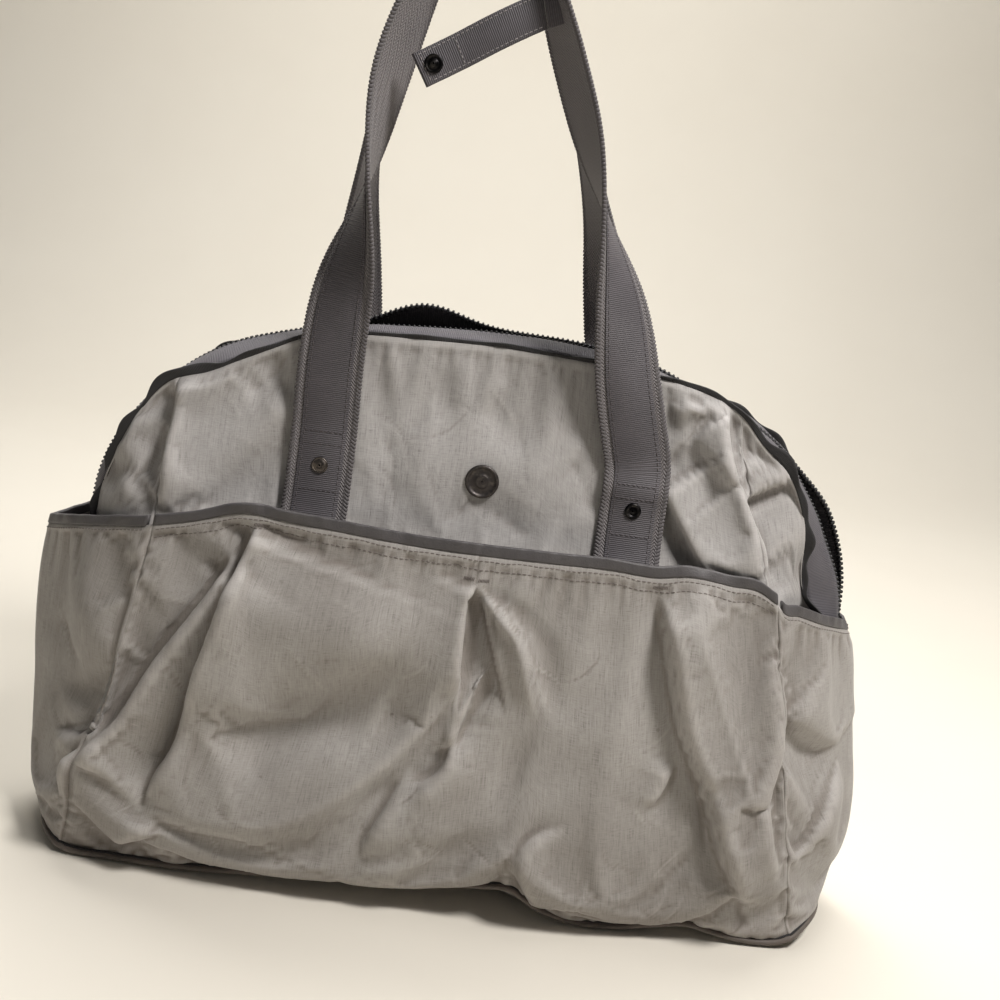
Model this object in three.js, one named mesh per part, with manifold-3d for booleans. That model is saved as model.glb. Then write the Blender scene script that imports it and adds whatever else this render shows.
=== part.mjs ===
// A soft dome-top duffel bag: two body panels and two V-folded end panels sewn to a flat base, a long zip
// over the top, slip pockets all round, and two shoulder straps drawn up as if the bag hangs by them.
// Millimetres. X runs along the bag, -Y is its front, +Z is up; the origin is the middle of the base.
import * as THREE from 'three';
import { mergeVertices } from 'three/addons/utils/BufferGeometryUtils.js';
import Module from 'manifold-3d';

const wasm = await Module();
wasm.setup();

// ---------------------------------------------------------------- driving dimensions
const CLOTH = 1.6;                  // thickness of a doubled, coated body cloth
const GAP = 0.4;                    // clearance between pieces that are sewn together
const SEAM_GAP = 1.2;               // the same along the curved top seam
const BASE_T = 2;                   // base panel
const ZIP_TOP = 360;                // height of the zip's crown
const TOP_R = 618;                  // radius of the zip line over the top
const SHOULDER_R = 130;             // radius of the zip line down each end
const SHOULDER_ANGLE = rad(14);     // where one radius runs into the other
const ZIP_END_ANGLE = rad(110);     // where the zip stops, inside the side pocket
const SEAM_S = 177;                 // zip length from the crown to the upright seams
const SEAM_Y = 25;                  // half width of the zip gusset at the crown
const SLIT = 5;                     // half width of the opened zip
const TOOTH_W = 3, TOOTH_H = 4;
const TAPE_T = 1.2;
const WEB_W = 38, WEB_T = 2;        // strap webbing
const RIBBON_W = 28, RIBBON_T = 0.8;
const STRAP_X = 97;                 // where each strap leg is sewn on
const STRAP_FOOT = 178, STRAP_HINGE = 298;
const SNAP_Z = 273;
const RIM_MID = 240, RIM_SEAM = 233, RIM_END = 203;   // pocket rim heights
const BINDING_H = 7, BINDING_T = 3;

// Horizontal sections of the body, by height: the upright seams stand at (seamX, seamY), the cloth between
// them bows out by bow, and the ends come to a fold at endX.
const BODY = [
  { z: 0, seamX: 238, seamY: 60, bow: 5, endX: 258, endBow: 10 },
  { z: 45, seamX: 229, seamY: 66, bow: 6, endX: 262, endBow: 8 },
  { z: 100, seamX: 217, seamY: 68, bow: 6, endX: 259, endBow: 6 },
  { z: 160, seamX: 204, seamY: 65, bow: 5, endX: 248, endBow: 5 },
  { z: 215, seamX: 192, seamY: 59, bow: 3, endX: 244, endBow: 4 },
  { z: 270, seamX: 181, seamY: 47, bow: 2, endX: 238, endBow: 4 },
  { z: 360, seamX: 165, seamY: 28, bow: 0, endX: 215, endBow: 4 },
];
// The same for the pockets, which are sewn down at the upright seams and bag out between them.
const POCKET = [
  { z: 0, seamX: 240.2, seamY: 62.6, bow: 7, endX: 262, endBow: 10 },
  { z: 45, seamX: 231.4, seamY: 68.8, bow: 17, endX: 277, endBow: 8 },
  { z: 110, seamX: 217.4, seamY: 70.7, bow: 21, endX: 281, endBow: 7 },
  { z: 170, seamX: 204.6, seamY: 67, bow: 18, endX: 276, endBow: 6 },
  { z: 240, seamX: 189.6, seamY: 57.8, bow: 11, endX: 263, endBow: 5 },
];

function rad(degrees) { return degrees * Math.PI / 180; }
const smooth = (a, b, x) => THREE.MathUtils.smoothstep(x, a, b);
const lerp = THREE.MathUtils.lerp;
const V = (x, y, z) => new THREE.Vector3(x, y, z);

// ---------------------------------------------------------------- materials
const cloth = (color, roughness) => new THREE.MeshStandardMaterial({ color, roughness, metalness: 0 });
const MATERIAL = {
  shell: cloth(0xa39e9c, 0.72),
  binding: cloth(0x5d5a5c, 0.6),
  webbing: cloth(0x5b5857, 0.85),
  tape: cloth(0x6b696b, 0.8),
  piping: cloth(0x1d1d1f, 0.7),
  lining: cloth(0x17181a, 0.8),
  board: cloth(0x2a2a2c, 0.6),
  zip: new THREE.MeshStandardMaterial({ color: 0x101012, roughness: 0.35, metalness: 0 }),
  metal: new THREE.MeshStandardMaterial({ color: 0x4a4846, roughness: 0.25, metalness: 0.9 }),
};

const bag = new THREE.Group();
function piece(name, geometry, material) {
  const mesh = new THREE.Mesh(geometry, MATERIAL[material]);
  mesh.name = name;
  bag.add(mesh);
  return mesh;
}

// ---------------------------------------------------------------- solids from grids of points
// A closed slab between two grids of points of the same size; front is the side that faces out.
function slab(front, back) {
  const rows = front.length, columns = front[0].length;
  const points = [...front.flat(), ...back.flat()];
  const at = (side, i, j) => side * rows * columns + i * columns + j;
  const faces = [];
  const quad = (a, b, c, d) => faces.push(a, b, c, a, c, d);
  for (let i = 0; i < rows - 1; i++) for (let j = 0; j < columns - 1; j++) {
    quad(at(0, i, j), at(0, i, j + 1), at(0, i + 1, j + 1), at(0, i + 1, j));
    quad(at(1, i, j), at(1, i + 1, j), at(1, i + 1, j + 1), at(1, i, j + 1));
  }
  for (let j = 0; j < columns - 1; j++) {
    quad(at(0, 0, j), at(1, 0, j), at(1, 0, j + 1), at(0, 0, j + 1));
    quad(at(0, rows - 1, j), at(0, rows - 1, j + 1), at(1, rows - 1, j + 1), at(1, rows - 1, j));
  }
  for (let i = 0; i < rows - 1; i++) {
    quad(at(0, i, 0), at(0, i + 1, 0), at(1, i + 1, 0), at(1, i, 0));
    quad(at(0, i, columns - 1), at(1, i, columns - 1), at(1, i + 1, columns - 1), at(0, i + 1, columns - 1));
  }
  return facingOut(new THREE.BufferGeometry()
    .setAttribute('position', new THREE.Float32BufferAttribute(points.flatMap((p) => p.toArray()), 3))
    .setIndex(faces));
}

function signedVolume(geometry) {
  const p = geometry.getAttribute('position'), index = geometry.index.array;
  const corner = (i) => new THREE.Vector3().fromBufferAttribute(p, index[i]);
  let sum = 0;
  for (let i = 0; i < index.length; i += 3) sum += corner(i).dot(corner(i + 1).cross(corner(i + 2)));
  return sum / 6;
}

function facingOut(geometry) {
  if (signedVolume(geometry) < 0) {
    const index = geometry.index.array;
    for (let i = 0; i < index.length; i += 3) [index[i + 1], index[i + 2]] = [index[i + 2], index[i + 1]];
  }
  geometry.computeVertexNormals();
  return geometry;
}

// Booleans, which cut rivet holes and join the badge.
function solid(geometry) {
  const bare = geometry.clone();
  bare.deleteAttribute('normal');
  bare.deleteAttribute('uv');
  const merged = mergeVertices(bare, 1e-4);
  return new wasm.Manifold(new wasm.Mesh({
    numProp: 3,
    vertProperties: merged.getAttribute('position').array,
    triVerts: new Uint32Array(merged.index.array),
  }));
}
function geometryOf(made) {
  const mesh = made.getMesh();
  const geometry = new THREE.BufferGeometry()
    .setAttribute('position', new THREE.BufferAttribute(mesh.vertProperties, 3))
    .setIndex(new THREE.BufferAttribute(mesh.triVerts, 1));
  geometry.computeVertexNormals();
  return geometry;
}
const cut = (geometry, ...tools) => (
  geometryOf(tools.reduce((left, t) => left.subtract(solid(t)), solid(geometry)))
);
const join = (...parts) => geometryOf(parts.map(solid).reduce((a, b) => a.add(b)));

// ---------------------------------------------------------------- the zip line
const SHOULDER_S = TOP_R * SHOULDER_ANGLE;
const ZIP_HALF = SHOULDER_S + SHOULDER_R * (ZIP_END_ANGLE - SHOULDER_ANGLE);
const SHOULDER_X = (TOP_R - SHOULDER_R) * Math.sin(SHOULDER_ANGLE);
const SHOULDER_Z = ZIP_TOP - TOP_R + (TOP_R - SHOULDER_R) * Math.cos(SHOULDER_ANGLE);

function zipAngle(s) {
  const length = Math.abs(s);
  const angle = length < SHOULDER_S ? length / TOP_R : SHOULDER_ANGLE + (length - SHOULDER_S) / SHOULDER_R;
  return Math.sign(s) * angle;
}
const outward = (s) => V(Math.sin(zipAngle(s)), 0, Math.cos(zipAngle(s)));
function zipPoint(s) {
  const angle = zipAngle(s), side = Math.sign(s);
  if (Math.abs(s) < SHOULDER_S) {
    return V(TOP_R * Math.sin(angle), 0, ZIP_TOP - TOP_R + TOP_R * Math.cos(angle));
  }
  return V(side * SHOULDER_X + SHOULDER_R * Math.sin(angle), 0, SHOULDER_Z + SHOULDER_R * Math.cos(angle));
}
// Half width of the open slit, which closes towards each end.
const slit = (s) => lerp(1.6, SLIT, smooth(20, 120, ZIP_HALF - Math.abs(s)));
// The seam between the gusset tape and the body cloth, on the front half; grow moves it off the tape.
function seamPoint(s, grow = 0) {
  const left = Math.max(0, ZIP_HALF - Math.abs(s));
  const steep = Math.abs(zipAngle(s)), taper = Math.sin(Math.PI / 2 * Math.min(1, left / 40));
  const half = SEAM_Y * lerp(1, 0.66, smooth(rad(45), rad(85), steep)) * taper + grow * smooth(0, 12, left);
  const drop = (6 + 8 * smooth(rad(20), rad(55), steep)) * smooth(0, 60, left) + grow;
  return zipPoint(s).addScaledVector(outward(s), -drop).setY(-half);
}

// ---------------------------------------------------------------- the bag's surfaces
// A smooth value between the stations of a section list.
function station(list, key, z) {
  const last = list.length - 1;
  let i = 0;
  while (i < last - 1 && z > list[i + 1].z) i++;
  const slope = (k) => {
    const a = list[Math.max(0, k - 1)], b = list[Math.min(last, k + 1)];
    return (b[key] - a[key]) / (b.z - a.z);
  };
  const a = list[i], b = list[i + 1], h = b.z - a.z, t = THREE.MathUtils.clamp((z - a.z) / h, 0, 1);
  return (2 * t ** 3 - 3 * t ** 2 + 1) * a[key] + (t ** 3 - 2 * t ** 2 + t) * h * slope(i)
    + (3 * t ** 2 - 2 * t ** 3) * b[key] + (t ** 3 - t ** 2) * h * slope(i + 1);
}

// A point of a horizontal section of the front half. u runs from -2 at the left fold, through -1 and 1 at
// the upright seams, to 2 at the right fold.
function section(list, u, z, bowScale = 1) {
  const seamX = station(list, 'seamX', z), seamY = station(list, 'seamY', z);
  const side = Math.sign(u), t = Math.abs(u) - 1;
  if (t <= 0) return V(seamX * u, -seamY - bowScale * station(list, 'bow', z) * (1 - u * u), z);
  const endX = station(list, 'endX', z), bow = station(list, 'endBow', z) * 4 * t * (1 - t);
  const along = new THREE.Vector2(endX - seamX, seamY).normalize();
  return V(side * (lerp(seamX, endX, t) + along.y * bow), -(lerp(seamY, 0, t) + along.x * bow), z);
}

const zipAt = (u) => (Math.abs(u) <= 1 ? SEAM_S * u
  : Math.sign(u) * (SEAM_S + (ZIP_HALF - SEAM_S) * (Math.abs(u) - 1) ** 1.5));

// The outer face of the body cloth: a horizontal section low down, drawn in to the zip seam at the top.
function bodyPoint(u, share) {
  const top = seamPoint(zipAt(u), SEAM_GAP);
  const z = lerp(BASE_T + GAP, top.z, share);
  const pull = smooth(0.55 * top.z, top.z, z);
  return section(BODY, u, z).add(top.clone().sub(section(BODY, u, top.z)).multiplyScalar(pull)).setZ(z);
}
const bodyShare = (u, z) => (z - BASE_T - GAP) / (seamPoint(zipAt(u), SEAM_GAP).z - BASE_T - GAP);
const bodyAt = (u, z) => bodyPoint(u, bodyShare(u, z));

const rim = (u) => (Math.abs(u) <= 1 ? lerp(RIM_MID, RIM_SEAM, u * u)
  : lerp(RIM_SEAM, RIM_END, Math.abs(u) - 1));
const pocketAt = (u, z, bowScale = 1) => section(POCKET, u, z, bowScale);

// Outward normal of a surface given as f(u, z).
function normalAt(f, u, z) {
  const du = f(u + 0.01, z).sub(f(u - 0.01, z)), dz = f(u, z + 1).sub(f(u, z - 1));
  return du.cross(dz).normalize();
}
const offset = (f, u, z, d) => f(u, z).addScaledVector(normalAt(f, u, z), d);
const spread = (a, b, n) => Array.from({ length: n + 1 }, (_, i) => lerp(a, b, i / n));
const flipY = (p, back) => (back ? V(p.x, -p.y, p.z) : p);

// A slab of cloth over part of a surface: from height low(u) to high(u), between two offsets.
function clothPatch(f, us, low, high, rows, outer, inner, back = false) {
  const grid = (d) => spread(0, 1, rows).map((t) => us.map((u) => {
    const z = lerp(low(u), high(u), t);
    return flipY(offset(f, u, z, d), back);
  }));
  return slab(grid(outer), grid(inner));
}

// A slab that goes round a V-folded end, from the front seam over the fold to the back seam.
function endPatch(side, f, low, high, rows, outer, inner, start = 1.004) {
  const inside = [start, ...spread(1.004, 2, 5).slice(1, -1)];
  const front = inside.map((t) => [t, false]), back = inside.map((t) => [t, true]).reverse();
  const columns = [...front, [2, false], ...back];
  const grid = (d) => spread(0, 1, rows).map((t) => columns.map(([w, isBack]) => {
    const u = side * w, z = lerp(low(u), high(u), t);
    if (w === 2) return f(u, z).add(V(side * d * 1.3, 0, 0));
    return flipY(offset(f, u, z, d), isBack);
  }));
  return slab(grid(outer), grid(inner));
}

// ---------------------------------------------------------------- strips and tubes
// A flat strip given by its centre line and the direction across it; out is the side it faces.
function strip(stations, edges, low, high) {
  const face = (h) => stations.map(({ at, across, out }) => edges.map((k) => (
    at.clone().addScaledVector(across, k).addScaledVector(out, h))));
  return slab(face(high), face(low));
}
const wide = (width) => [-width / 2, width / 2];

// ---------------------------------------------------------------- body, base and lining
const seamTop = (u) => seamPoint(zipAt(u), SEAM_GAP).z;
const floorLine = () => BASE_T + GAP;
const spanU = spread(-0.996, 0.996, 12);
for (const back of [false, true]) {
  const name = back ? 'back' : 'front';
  piece(`${name}_panel`, clothPatch(bodyAt, spanU, floorLine, seamTop, 8, 0, -CLOTH, back), 'shell');
  piece(`${name}_lining`, clothPatch(bodyAt, spread(-0.975, 0.975, 12), () => 8, (u) => seamTop(u) - 3, 8,
    -CLOTH - 0.7, -CLOTH - 1.3, back), 'lining');
}
for (const [side, name] of [[-1, 'left'], [1, 'right']]) {
  piece(`${name}_end_panel`, endPatch(side, bodyAt, floorLine, seamTop, 7, 0, -CLOTH), 'shell');
  piece(`${name}_end_lining`, endPatch(side, bodyAt, () => 8, (u) => seamTop(u) - 3, 7,
    -CLOTH - 1, -CLOTH - 1.6, 1.06), 'lining');
}

function sectionLoop(list, z, grow, n) {
  const half = spread(-2, 2, n).slice(1, -1).map((u) => {
    const p = section(list, u, z), normal = normalAt((a, b) => section(list, a, b), u, z).setZ(0).normalize();
    return p.addScaledVector(normal, grow);
  });
  const fold = (side) => V(side * (station(list, 'endX', z) + grow), 0, z);
  return [fold(-1), ...half, fold(1), ...half.map((p) => V(p.x, -p.y, z)).reverse()];
}
function plate(loop, low, high) {
  const shape = new THREE.Shape(loop.map((p) => new THREE.Vector2(p.x, p.y)));
  return new THREE.ExtrudeGeometry(shape, { depth: high - low, bevelEnabled: false }).translate(0, 0, low);
}
piece('base_panel', plate(sectionLoop(POCKET, 0, 0.4, 16), 0, BASE_T), 'shell');
piece('base_board', plate(sectionLoop(BODY, 0, -8, 12), BASE_T + GAP, BASE_T + GAP + 2.5), 'board');

// A cord that closes on itself, lying level.
function closedTube(loop, radius, sides) {
  const n = loop.length;
  const rings = loop.map((p, i) => {
    const along = loop[(i + 1) % n].clone().sub(loop[(i + n - 1) % n]).setZ(0).normalize();
    const across = V(along.y, -along.x, 0);
    return spread(0, 2 * Math.PI, sides).slice(0, -1).map((a) => p.clone()
      .addScaledVector(across, radius * Math.cos(a)).add(V(0, 0, radius * Math.sin(a))));
  });
  const faces = [];
  for (let i = 0; i < n; i++) for (let j = 0; j < sides; j++) {
    const a = i * sides + j, b = i * sides + (j + 1) % sides;
    const c = ((i + 1) % n) * sides + (j + 1) % sides, d = ((i + 1) % n) * sides + j;
    faces.push(a, b, c, a, c, d);
  }
  return facingOut(new THREE.BufferGeometry()
    .setAttribute('position', new THREE.Float32BufferAttribute(rings.flat().flatMap((p) => p.toArray()), 3))
    .setIndex(faces));
}

piece('base_piping', closedTube(sectionLoop(POCKET, 3.2, 3.4, 16), 1.9, 6), 'piping');

// ---------------------------------------------------------------- pockets and their bound rims
const bindingTop = (u) => rim(u) + BINDING_H;
const bindingLow = (u) => rim(u) + GAP;
for (const back of [false, true]) {
  const name = back ? 'back' : 'front';
  piece(`${name}_pocket`, clothPatch(pocketAt, spanU, floorLine, rim, 7, 0, -CLOTH, back), 'shell');
  piece(`${name}_pocket_binding`,
    clothPatch(pocketAt, spanU, bindingLow, bindingTop, 1, 0.7, 0.7 - BINDING_T, back), 'binding');
}
for (const [side, name] of [[-1, 'left'], [1, 'right']]) {
  piece(`${name}_pocket`, endPatch(side, pocketAt, floorLine, rim, 6, 0, -CLOTH), 'shell');
  piece(`${name}_pocket_binding`,
    endPatch(side, pocketAt, bindingLow, bindingTop, 1, 0.7, 0.7 - BINDING_T, 1.02), 'binding');
}

// ---------------------------------------------------------------- the zip
const zipStations = (end, n) => spread(-(ZIP_HALF - end), ZIP_HALF - end, n);
for (const back of [false, true]) {
  const name = back ? 'back' : 'front', ySign = back ? 1 : -1;
  const teeth = zipStations(8, 44).map((s) => ({
    at: zipPoint(s).setY(ySign * (slit(s) + TOOTH_W / 2)),
    across: V(0, 1, 0),
    out: outward(s),
  }));
  piece(`zip_teeth_${name}`, strip(teeth, wide(TOOTH_W), -TOOTH_H / 2, TOOTH_H / 2), 'zip');

  const tapeGrid = (h) => zipStations(16, 40).map((s) => [0, 0.5, 1].map((t) => {
    const inner = zipPoint(s).setY(-slit(s) - TOOTH_W - GAP);
    return flipY(inner.lerp(seamPoint(s), t).addScaledVector(outward(s), h), back);
  }));
  piece(`zip_tape_${name}`, slab(tapeGrid(TAPE_T / 2), tapeGrid(-TAPE_T / 2)), 'tape');

  const bindings = zipStations(24, 40).map((s) => ({
    at: flipY(seamPoint(s).add(V(0, -1.3, 0)), back),
    across: V(0, 1, 0),
    out: outward(s),
  }));
  piece(`seam_binding_${name}`, strip(bindings, wide(2.6), 1.6, 3.4), 'piping');
}

// A place on a shoulder of the zip: x along the bag's end, y up the zip's outward side.
function onShoulder(side, angle) {
  const s = side * (SHOULDER_S + SHOULDER_R * (angle - SHOULDER_ANGLE));
  const out = outward(s);
  const along = V(side * out.z, 0, -side * out.x);
  return new THREE.Matrix4().makeBasis(along, out, along.clone().cross(out)).setPosition(zipPoint(s));
}
const box = (sx, sy, sz, x, y, z) => new THREE.BoxGeometry(sx, sy, sz).translate(x, y, z);
const SLIDER_PARK = rad(96);
// Each slider is two plates joined by a wedge between the rows, with an arch that holds its pull tab.
for (const [side, name] of [[-1, 'left'], [1, 'right']]) {
  const park = onShoulder(side, SLIDER_PARK);
  const body = join(
    box(11, 1.5, 12.4, 0, 3.5, 0),
    box(11, 1.5, 12.4, 0, -3.5, 0),
    box(5, 7, 1.9, -2.5, 0, 0),
    box(1.6, 4, 1.8, -3.4, 5.6, 0),
    box(8, 1.4, 1.8, -0.2, 7.2, 0),
    box(1.6, 4, 1.8, 3, 5.6, 0),
  );
  piece(`zip_slider_${name}`, body.applyMatrix4(park), 'metal');
  const pull = cut(box(24.9, 1.2, 7, 10.55, 5.4, 0), box(5.8, 4, 3.6, 2.5, 5.4, 0));
  piece(`zip_pull_${name}`, pull.applyMatrix4(park), 'metal');
  const endTab = box(10, 1.4, 12, 0, 4.4, 0).applyMatrix4(onShoulder(side, ZIP_END_ANGLE));
  piece(`zip_end_tab_${name}`, endTab, 'tape');
}

// ---------------------------------------------------------------- shoulder straps
// Where a strap leg crosses the panel at height z.
const strapU = (x, z) => x / bodyAt(0.5, z).x * 0.5;
function strapOnPanel(x, z, d, back) {
  const u = strapU(x, z);
  const out = normalAt(bodyAt, u, z);
  const at = bodyAt(u, z).addScaledVector(out, d);
  return { at: flipY(at, back), across: V(1, 0, 0), out: flipY(out, back) };
}

// Loop of each strap from its left seam to its right one: x, z and the turn of the webbing about its own
// length, which brings its width round to lie fore and aft over the top.
const FRONT_LOOP = [
  [-97, 298, 0], [-97, 340, 4], [-94, 385, 22], [-88, 448, 84], [-85, 505, 114], [-75, 552, 112],
  [-60, 592, 100], [-45, 624, 92], [-28, 637, 90], [-11, 624, 94], [0, 594, 108], [14, 560, 122],
  [28, 529, 122], [45, 486, 124], [60, 442, 132], [73, 395, 152], [84, 345, 172], [97, 298, 180],
];
const BACK_LOOP = [
  [-97, 298, 0], [-97, 340, 4], [-95, 385, 22], [-93, 448, 60], [-87, 505, 84], [-76, 552, 88],
  [-60, 590, 90], [-45, 614, 90], [-28, 626, 90], [-11, 614, 90], [2, 590, 90], [18, 552, 92],
  [33, 520, 96], [50, 486, 104], [66, 442, 120], [77, 395, 150], [87, 345, 172], [97, 298, 180],
];
const WEB_EDGES = [-WEB_W / 2, -RIBBON_W / 2, RIBBON_W / 2, WEB_W / 2];
const HINGE_GAP = 3;                // the webbing flexes over this much, just above its last row of stitches
const LOOP_Y = 22;                  // how far each loop's top stands from the middle
const SEAT = 1.8;                   // clearance under the flat webbing, since the panel bows
const hingeY = -strapOnPanel(STRAP_X, STRAP_HINGE, SEAT + WEB_T / 2, false).at.y;

function loopStations(points, back, n) {
  const ySign = back ? 1 : -1, top = Math.max(...points.map((p) => p[1]));
  const yAt = (z) => ySign * lerp(hingeY, LOOP_Y, smooth(STRAP_HINGE, top, z));
  const curve = new THREE.CatmullRomCurve3(points.map(([x, z]) => V(x, yAt(z), z)), false, 'centripetal');
  return spread(0, 1, n).map((t) => {
    const place = t * (points.length - 1), i = Math.min(Math.floor(place), points.length - 2);
    const turn = rad(lerp(points[i][2], points[i + 1][2], place - i));
    const along = curve.getTangent(t);
    const across = V(Math.cos(turn), ySign * Math.sin(turn), 0);
    if (t > 0 && t < 1) across.addScaledVector(along, -across.dot(along)).normalize();
    const out = along.clone().cross(across).multiplyScalar(ySign);
    return { at: curve.getPoint(t), across, out };
  });
}

for (const [back, name, points] of [[false, 'front', FRONT_LOOP], [true, 'back', BACK_LOOP]]) {
  const loop = loopStations(points, back, 51);
  loop[0].at.z += HINGE_GAP;
  loop.at(-1).at.z += HINGE_GAP;
  piece(`${name}_strap`, strip(loop, WEB_EDGES, -WEB_T / 2, WEB_T / 2), 'webbing');
  const ribbonSeat = WEB_T / 2 + GAP;
  piece(`${name}_strap_ribbon`, strip(loop, wide(RIBBON_W), ribbonSeat, ribbonSeat + RIBBON_T), 'tape');
  for (const [side, hand] of [[-1, 'left'], [1, 'right']]) {
    const x = side * STRAP_X;
    const run = (low) => spread(STRAP_FOOT, STRAP_HINGE - GAP, 6).map((z) => strapOnPanel(x, z, low, back));
    piece(`${name}_strap_${hand}_end`, strip(run(SEAT), WEB_EDGES, 0, WEB_T), 'webbing');
    const endRibbon = strip(run(SEAT + WEB_T + GAP), wide(RIBBON_W), 0, RIBBON_T);
    piece(`${name}_strap_${hand}_end_ribbon`, endRibbon, 'tape');
    const seat = strapOnPanel(x, SNAP_Z, SEAT + WEB_T + RIBBON_T + 2 * GAP, back);
    piece(`${name}_${hand}_snap`, facing(hand === 'left' ? cap(5, 2) : ring(5, 2.4, 2), seat), 'metal');
  }
}

// Turned fittings, with their back at the origin and their face towards +Y before they are placed.
function turned(profile) {
  return new THREE.LatheGeometry(profile.map(([r, h]) => new THREE.Vector2(r, h)), 16);
}
function cap(r, h) {
  return turned([[0, 0], [r, 0], [r, h * 0.5], [r * 0.8, h * 0.9], [r * 0.4, h], [0, h]]);
}
function ring(r, hole, h) {
  return turned([[hole, 0], [r, 0], [r, h * 0.6], [r * 0.8, h], [hole, h * 0.8], [hole, 0]]);
}
function facing(geometry, { at, out }) {
  return geometry.applyQuaternion(new THREE.Quaternion().setFromUnitVectors(V(0, 1, 0), out))
    .translate(at.x, at.y, at.z);
}

// ---------------------------------------------------------------- the strap wrap and the badge
const WRAP_Y = -32, WRAP_W = 20, WRAP_T = 1.6;
const wrapRun = [[4, 552, 0.3], [-6, 546.5, 0.45], [-25, 535, 0.52], [-43, 523.5, 0.52], [-63, 511, 0.56]];
const wrap = wrapRun.map(([x, z, lean]) => ({
  at: V(x, WRAP_Y, z),
  across: V(-Math.sin(lean), 0, Math.cos(lean)),
  out: V(0, -1, 0),
}));
piece('handle_wrap', strip(wrap, wide(WRAP_W), -WRAP_T / 2, WRAP_T / 2), 'tape');
const stud = { at: V(-55, WRAP_Y - WRAP_T / 2 - 0.3, 516), out: V(0, -1, 0) };
piece('handle_wrap_snap', facing(cap(5.3, 2), stud), 'metal');
const socket = { at: V(-55, WRAP_Y + WRAP_T / 2 + 0.3, 516), out: V(0, 1, 0) };
piece('handle_wrap_socket', facing(ring(5.3, 2.2, 1.8), socket), 'metal');
const BADGE_Z = 279;
piece('badge', facing(
  turned([[0, 0], [10.5, 0], [10.5, 1.4], [9.6, 2], [8.6, 1.2], [0, 1.2]]),
  strapOnPanel(3, BADGE_Z, GAP, false),
), 'metal');

export default bag;
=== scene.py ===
"""A soft dome-top duffel bag with a long open zip, slip pockets, piped base and two webbing straps."""
import math

import bpy
import numpy as np
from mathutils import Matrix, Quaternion, Vector


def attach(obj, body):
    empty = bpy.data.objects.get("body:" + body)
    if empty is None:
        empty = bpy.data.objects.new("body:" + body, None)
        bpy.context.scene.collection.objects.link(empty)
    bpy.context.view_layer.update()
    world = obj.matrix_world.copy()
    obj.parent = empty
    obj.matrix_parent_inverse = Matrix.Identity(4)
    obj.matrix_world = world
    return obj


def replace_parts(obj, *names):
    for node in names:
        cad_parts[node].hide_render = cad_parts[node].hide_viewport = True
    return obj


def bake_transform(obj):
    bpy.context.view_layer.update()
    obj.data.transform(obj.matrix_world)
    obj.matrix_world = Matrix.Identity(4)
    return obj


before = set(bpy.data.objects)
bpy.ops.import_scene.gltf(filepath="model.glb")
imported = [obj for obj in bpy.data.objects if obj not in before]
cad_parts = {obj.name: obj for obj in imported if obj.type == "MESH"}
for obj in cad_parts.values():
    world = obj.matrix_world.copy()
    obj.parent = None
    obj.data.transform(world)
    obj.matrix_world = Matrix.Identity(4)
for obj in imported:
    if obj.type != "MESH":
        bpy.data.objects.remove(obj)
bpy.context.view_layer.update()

# ------------------------------------------------------------------ sizes, in millimetres
MM = 0.001
CLOTH = 1.2
ZIP_TOP, TOP_R, SHOULDER_R = 360, 618, 130
SHOULDER_ANGLE, ZIP_END_ANGLE = math.radians(14), math.radians(110)
SEAM_Y = 25
SLIT = 5
RIBBON_W, RIBBON_T = 28, 0.7
STRAP_X, STRAP_FOOT, STRAP_HINGE = 97, 214, 300
LOW_EDGE = 2.4          # height of the cloth's lower edge over the floor, at the corners
END_LEAN = 12           # how far both ends hang to the left, high up
SIDE_RUN, END_RUN = 434, 78     # cloth between two upright seams, and from a seam to the end's fold
FACES = (("front", False), ("back", True))
SIDES = ("front", "back", "left", "right")

# Horizontal sections: height, seam x, seam y, bow of the long side, x of the end fold, bow of the ends.
BODY = np.array([
    (0, 238, 60, 5, 258, 10),
    (45, 229, 66, 6, 262, 8),
    (100, 217, 68, 6, 259, 6),
    (160, 204, 65, 5, 248, 5),
    (215, 192, 59, 3, 244, 4),
    (270, 181, 47, 2, 238, 4),
    (360, 165, 28, 0, 215, 4),
], float)
POCKET = np.array([
    (0, 240.2, 62.6, 7, 262, 10),
    (45, 231.4, 68.8, 17, 280, 9),
    (110, 217.4, 70.7, 21, 282, 7),
    (170, 204.6, 67, 18, 274, 6),
    (240, 189.6, 57.8, 11, 260, 5),
], float)


def smooth(a, b, x):
    """0 at a, 1 at b, which may lie either way round."""
    t = np.clip((np.asarray(x, float) - a) / (b - a), 0, 1)
    return t * t * (3 - 2 * t)


def lerp(a, b, t):
    return a + (b - a) * t


def bell(x, centre, width):
    return np.exp(-(((np.asarray(x, float) - centre) / width) ** 2))


def unit(v):
    return v / np.maximum(np.linalg.norm(v, axis=-1, keepdims=True), 1e-9)


def square_to(v, axis):
    """The unit vectors nearest v that stand square to axis."""
    return unit(v - axis * (v * axis).sum(-1, keepdims=True))


def length_along(path):
    """Length along the path at each of its points."""
    return np.concatenate([[0], np.cumsum(np.linalg.norm(np.diff(path, axis=0), axis=1))])


def at_lengths(places, run, values):
    """Rows of values, given at the lengths run, read at other lengths."""
    return np.stack([np.interp(places, run, values[:, k]) for k in range(values.shape[1])], -1)


def softened(line):
    """Averages each inner point of the line with its neighbours, in place."""
    line[1:-1] = (line[:-2] + 2 * line[1:-1] + line[2:]) / 4


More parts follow.
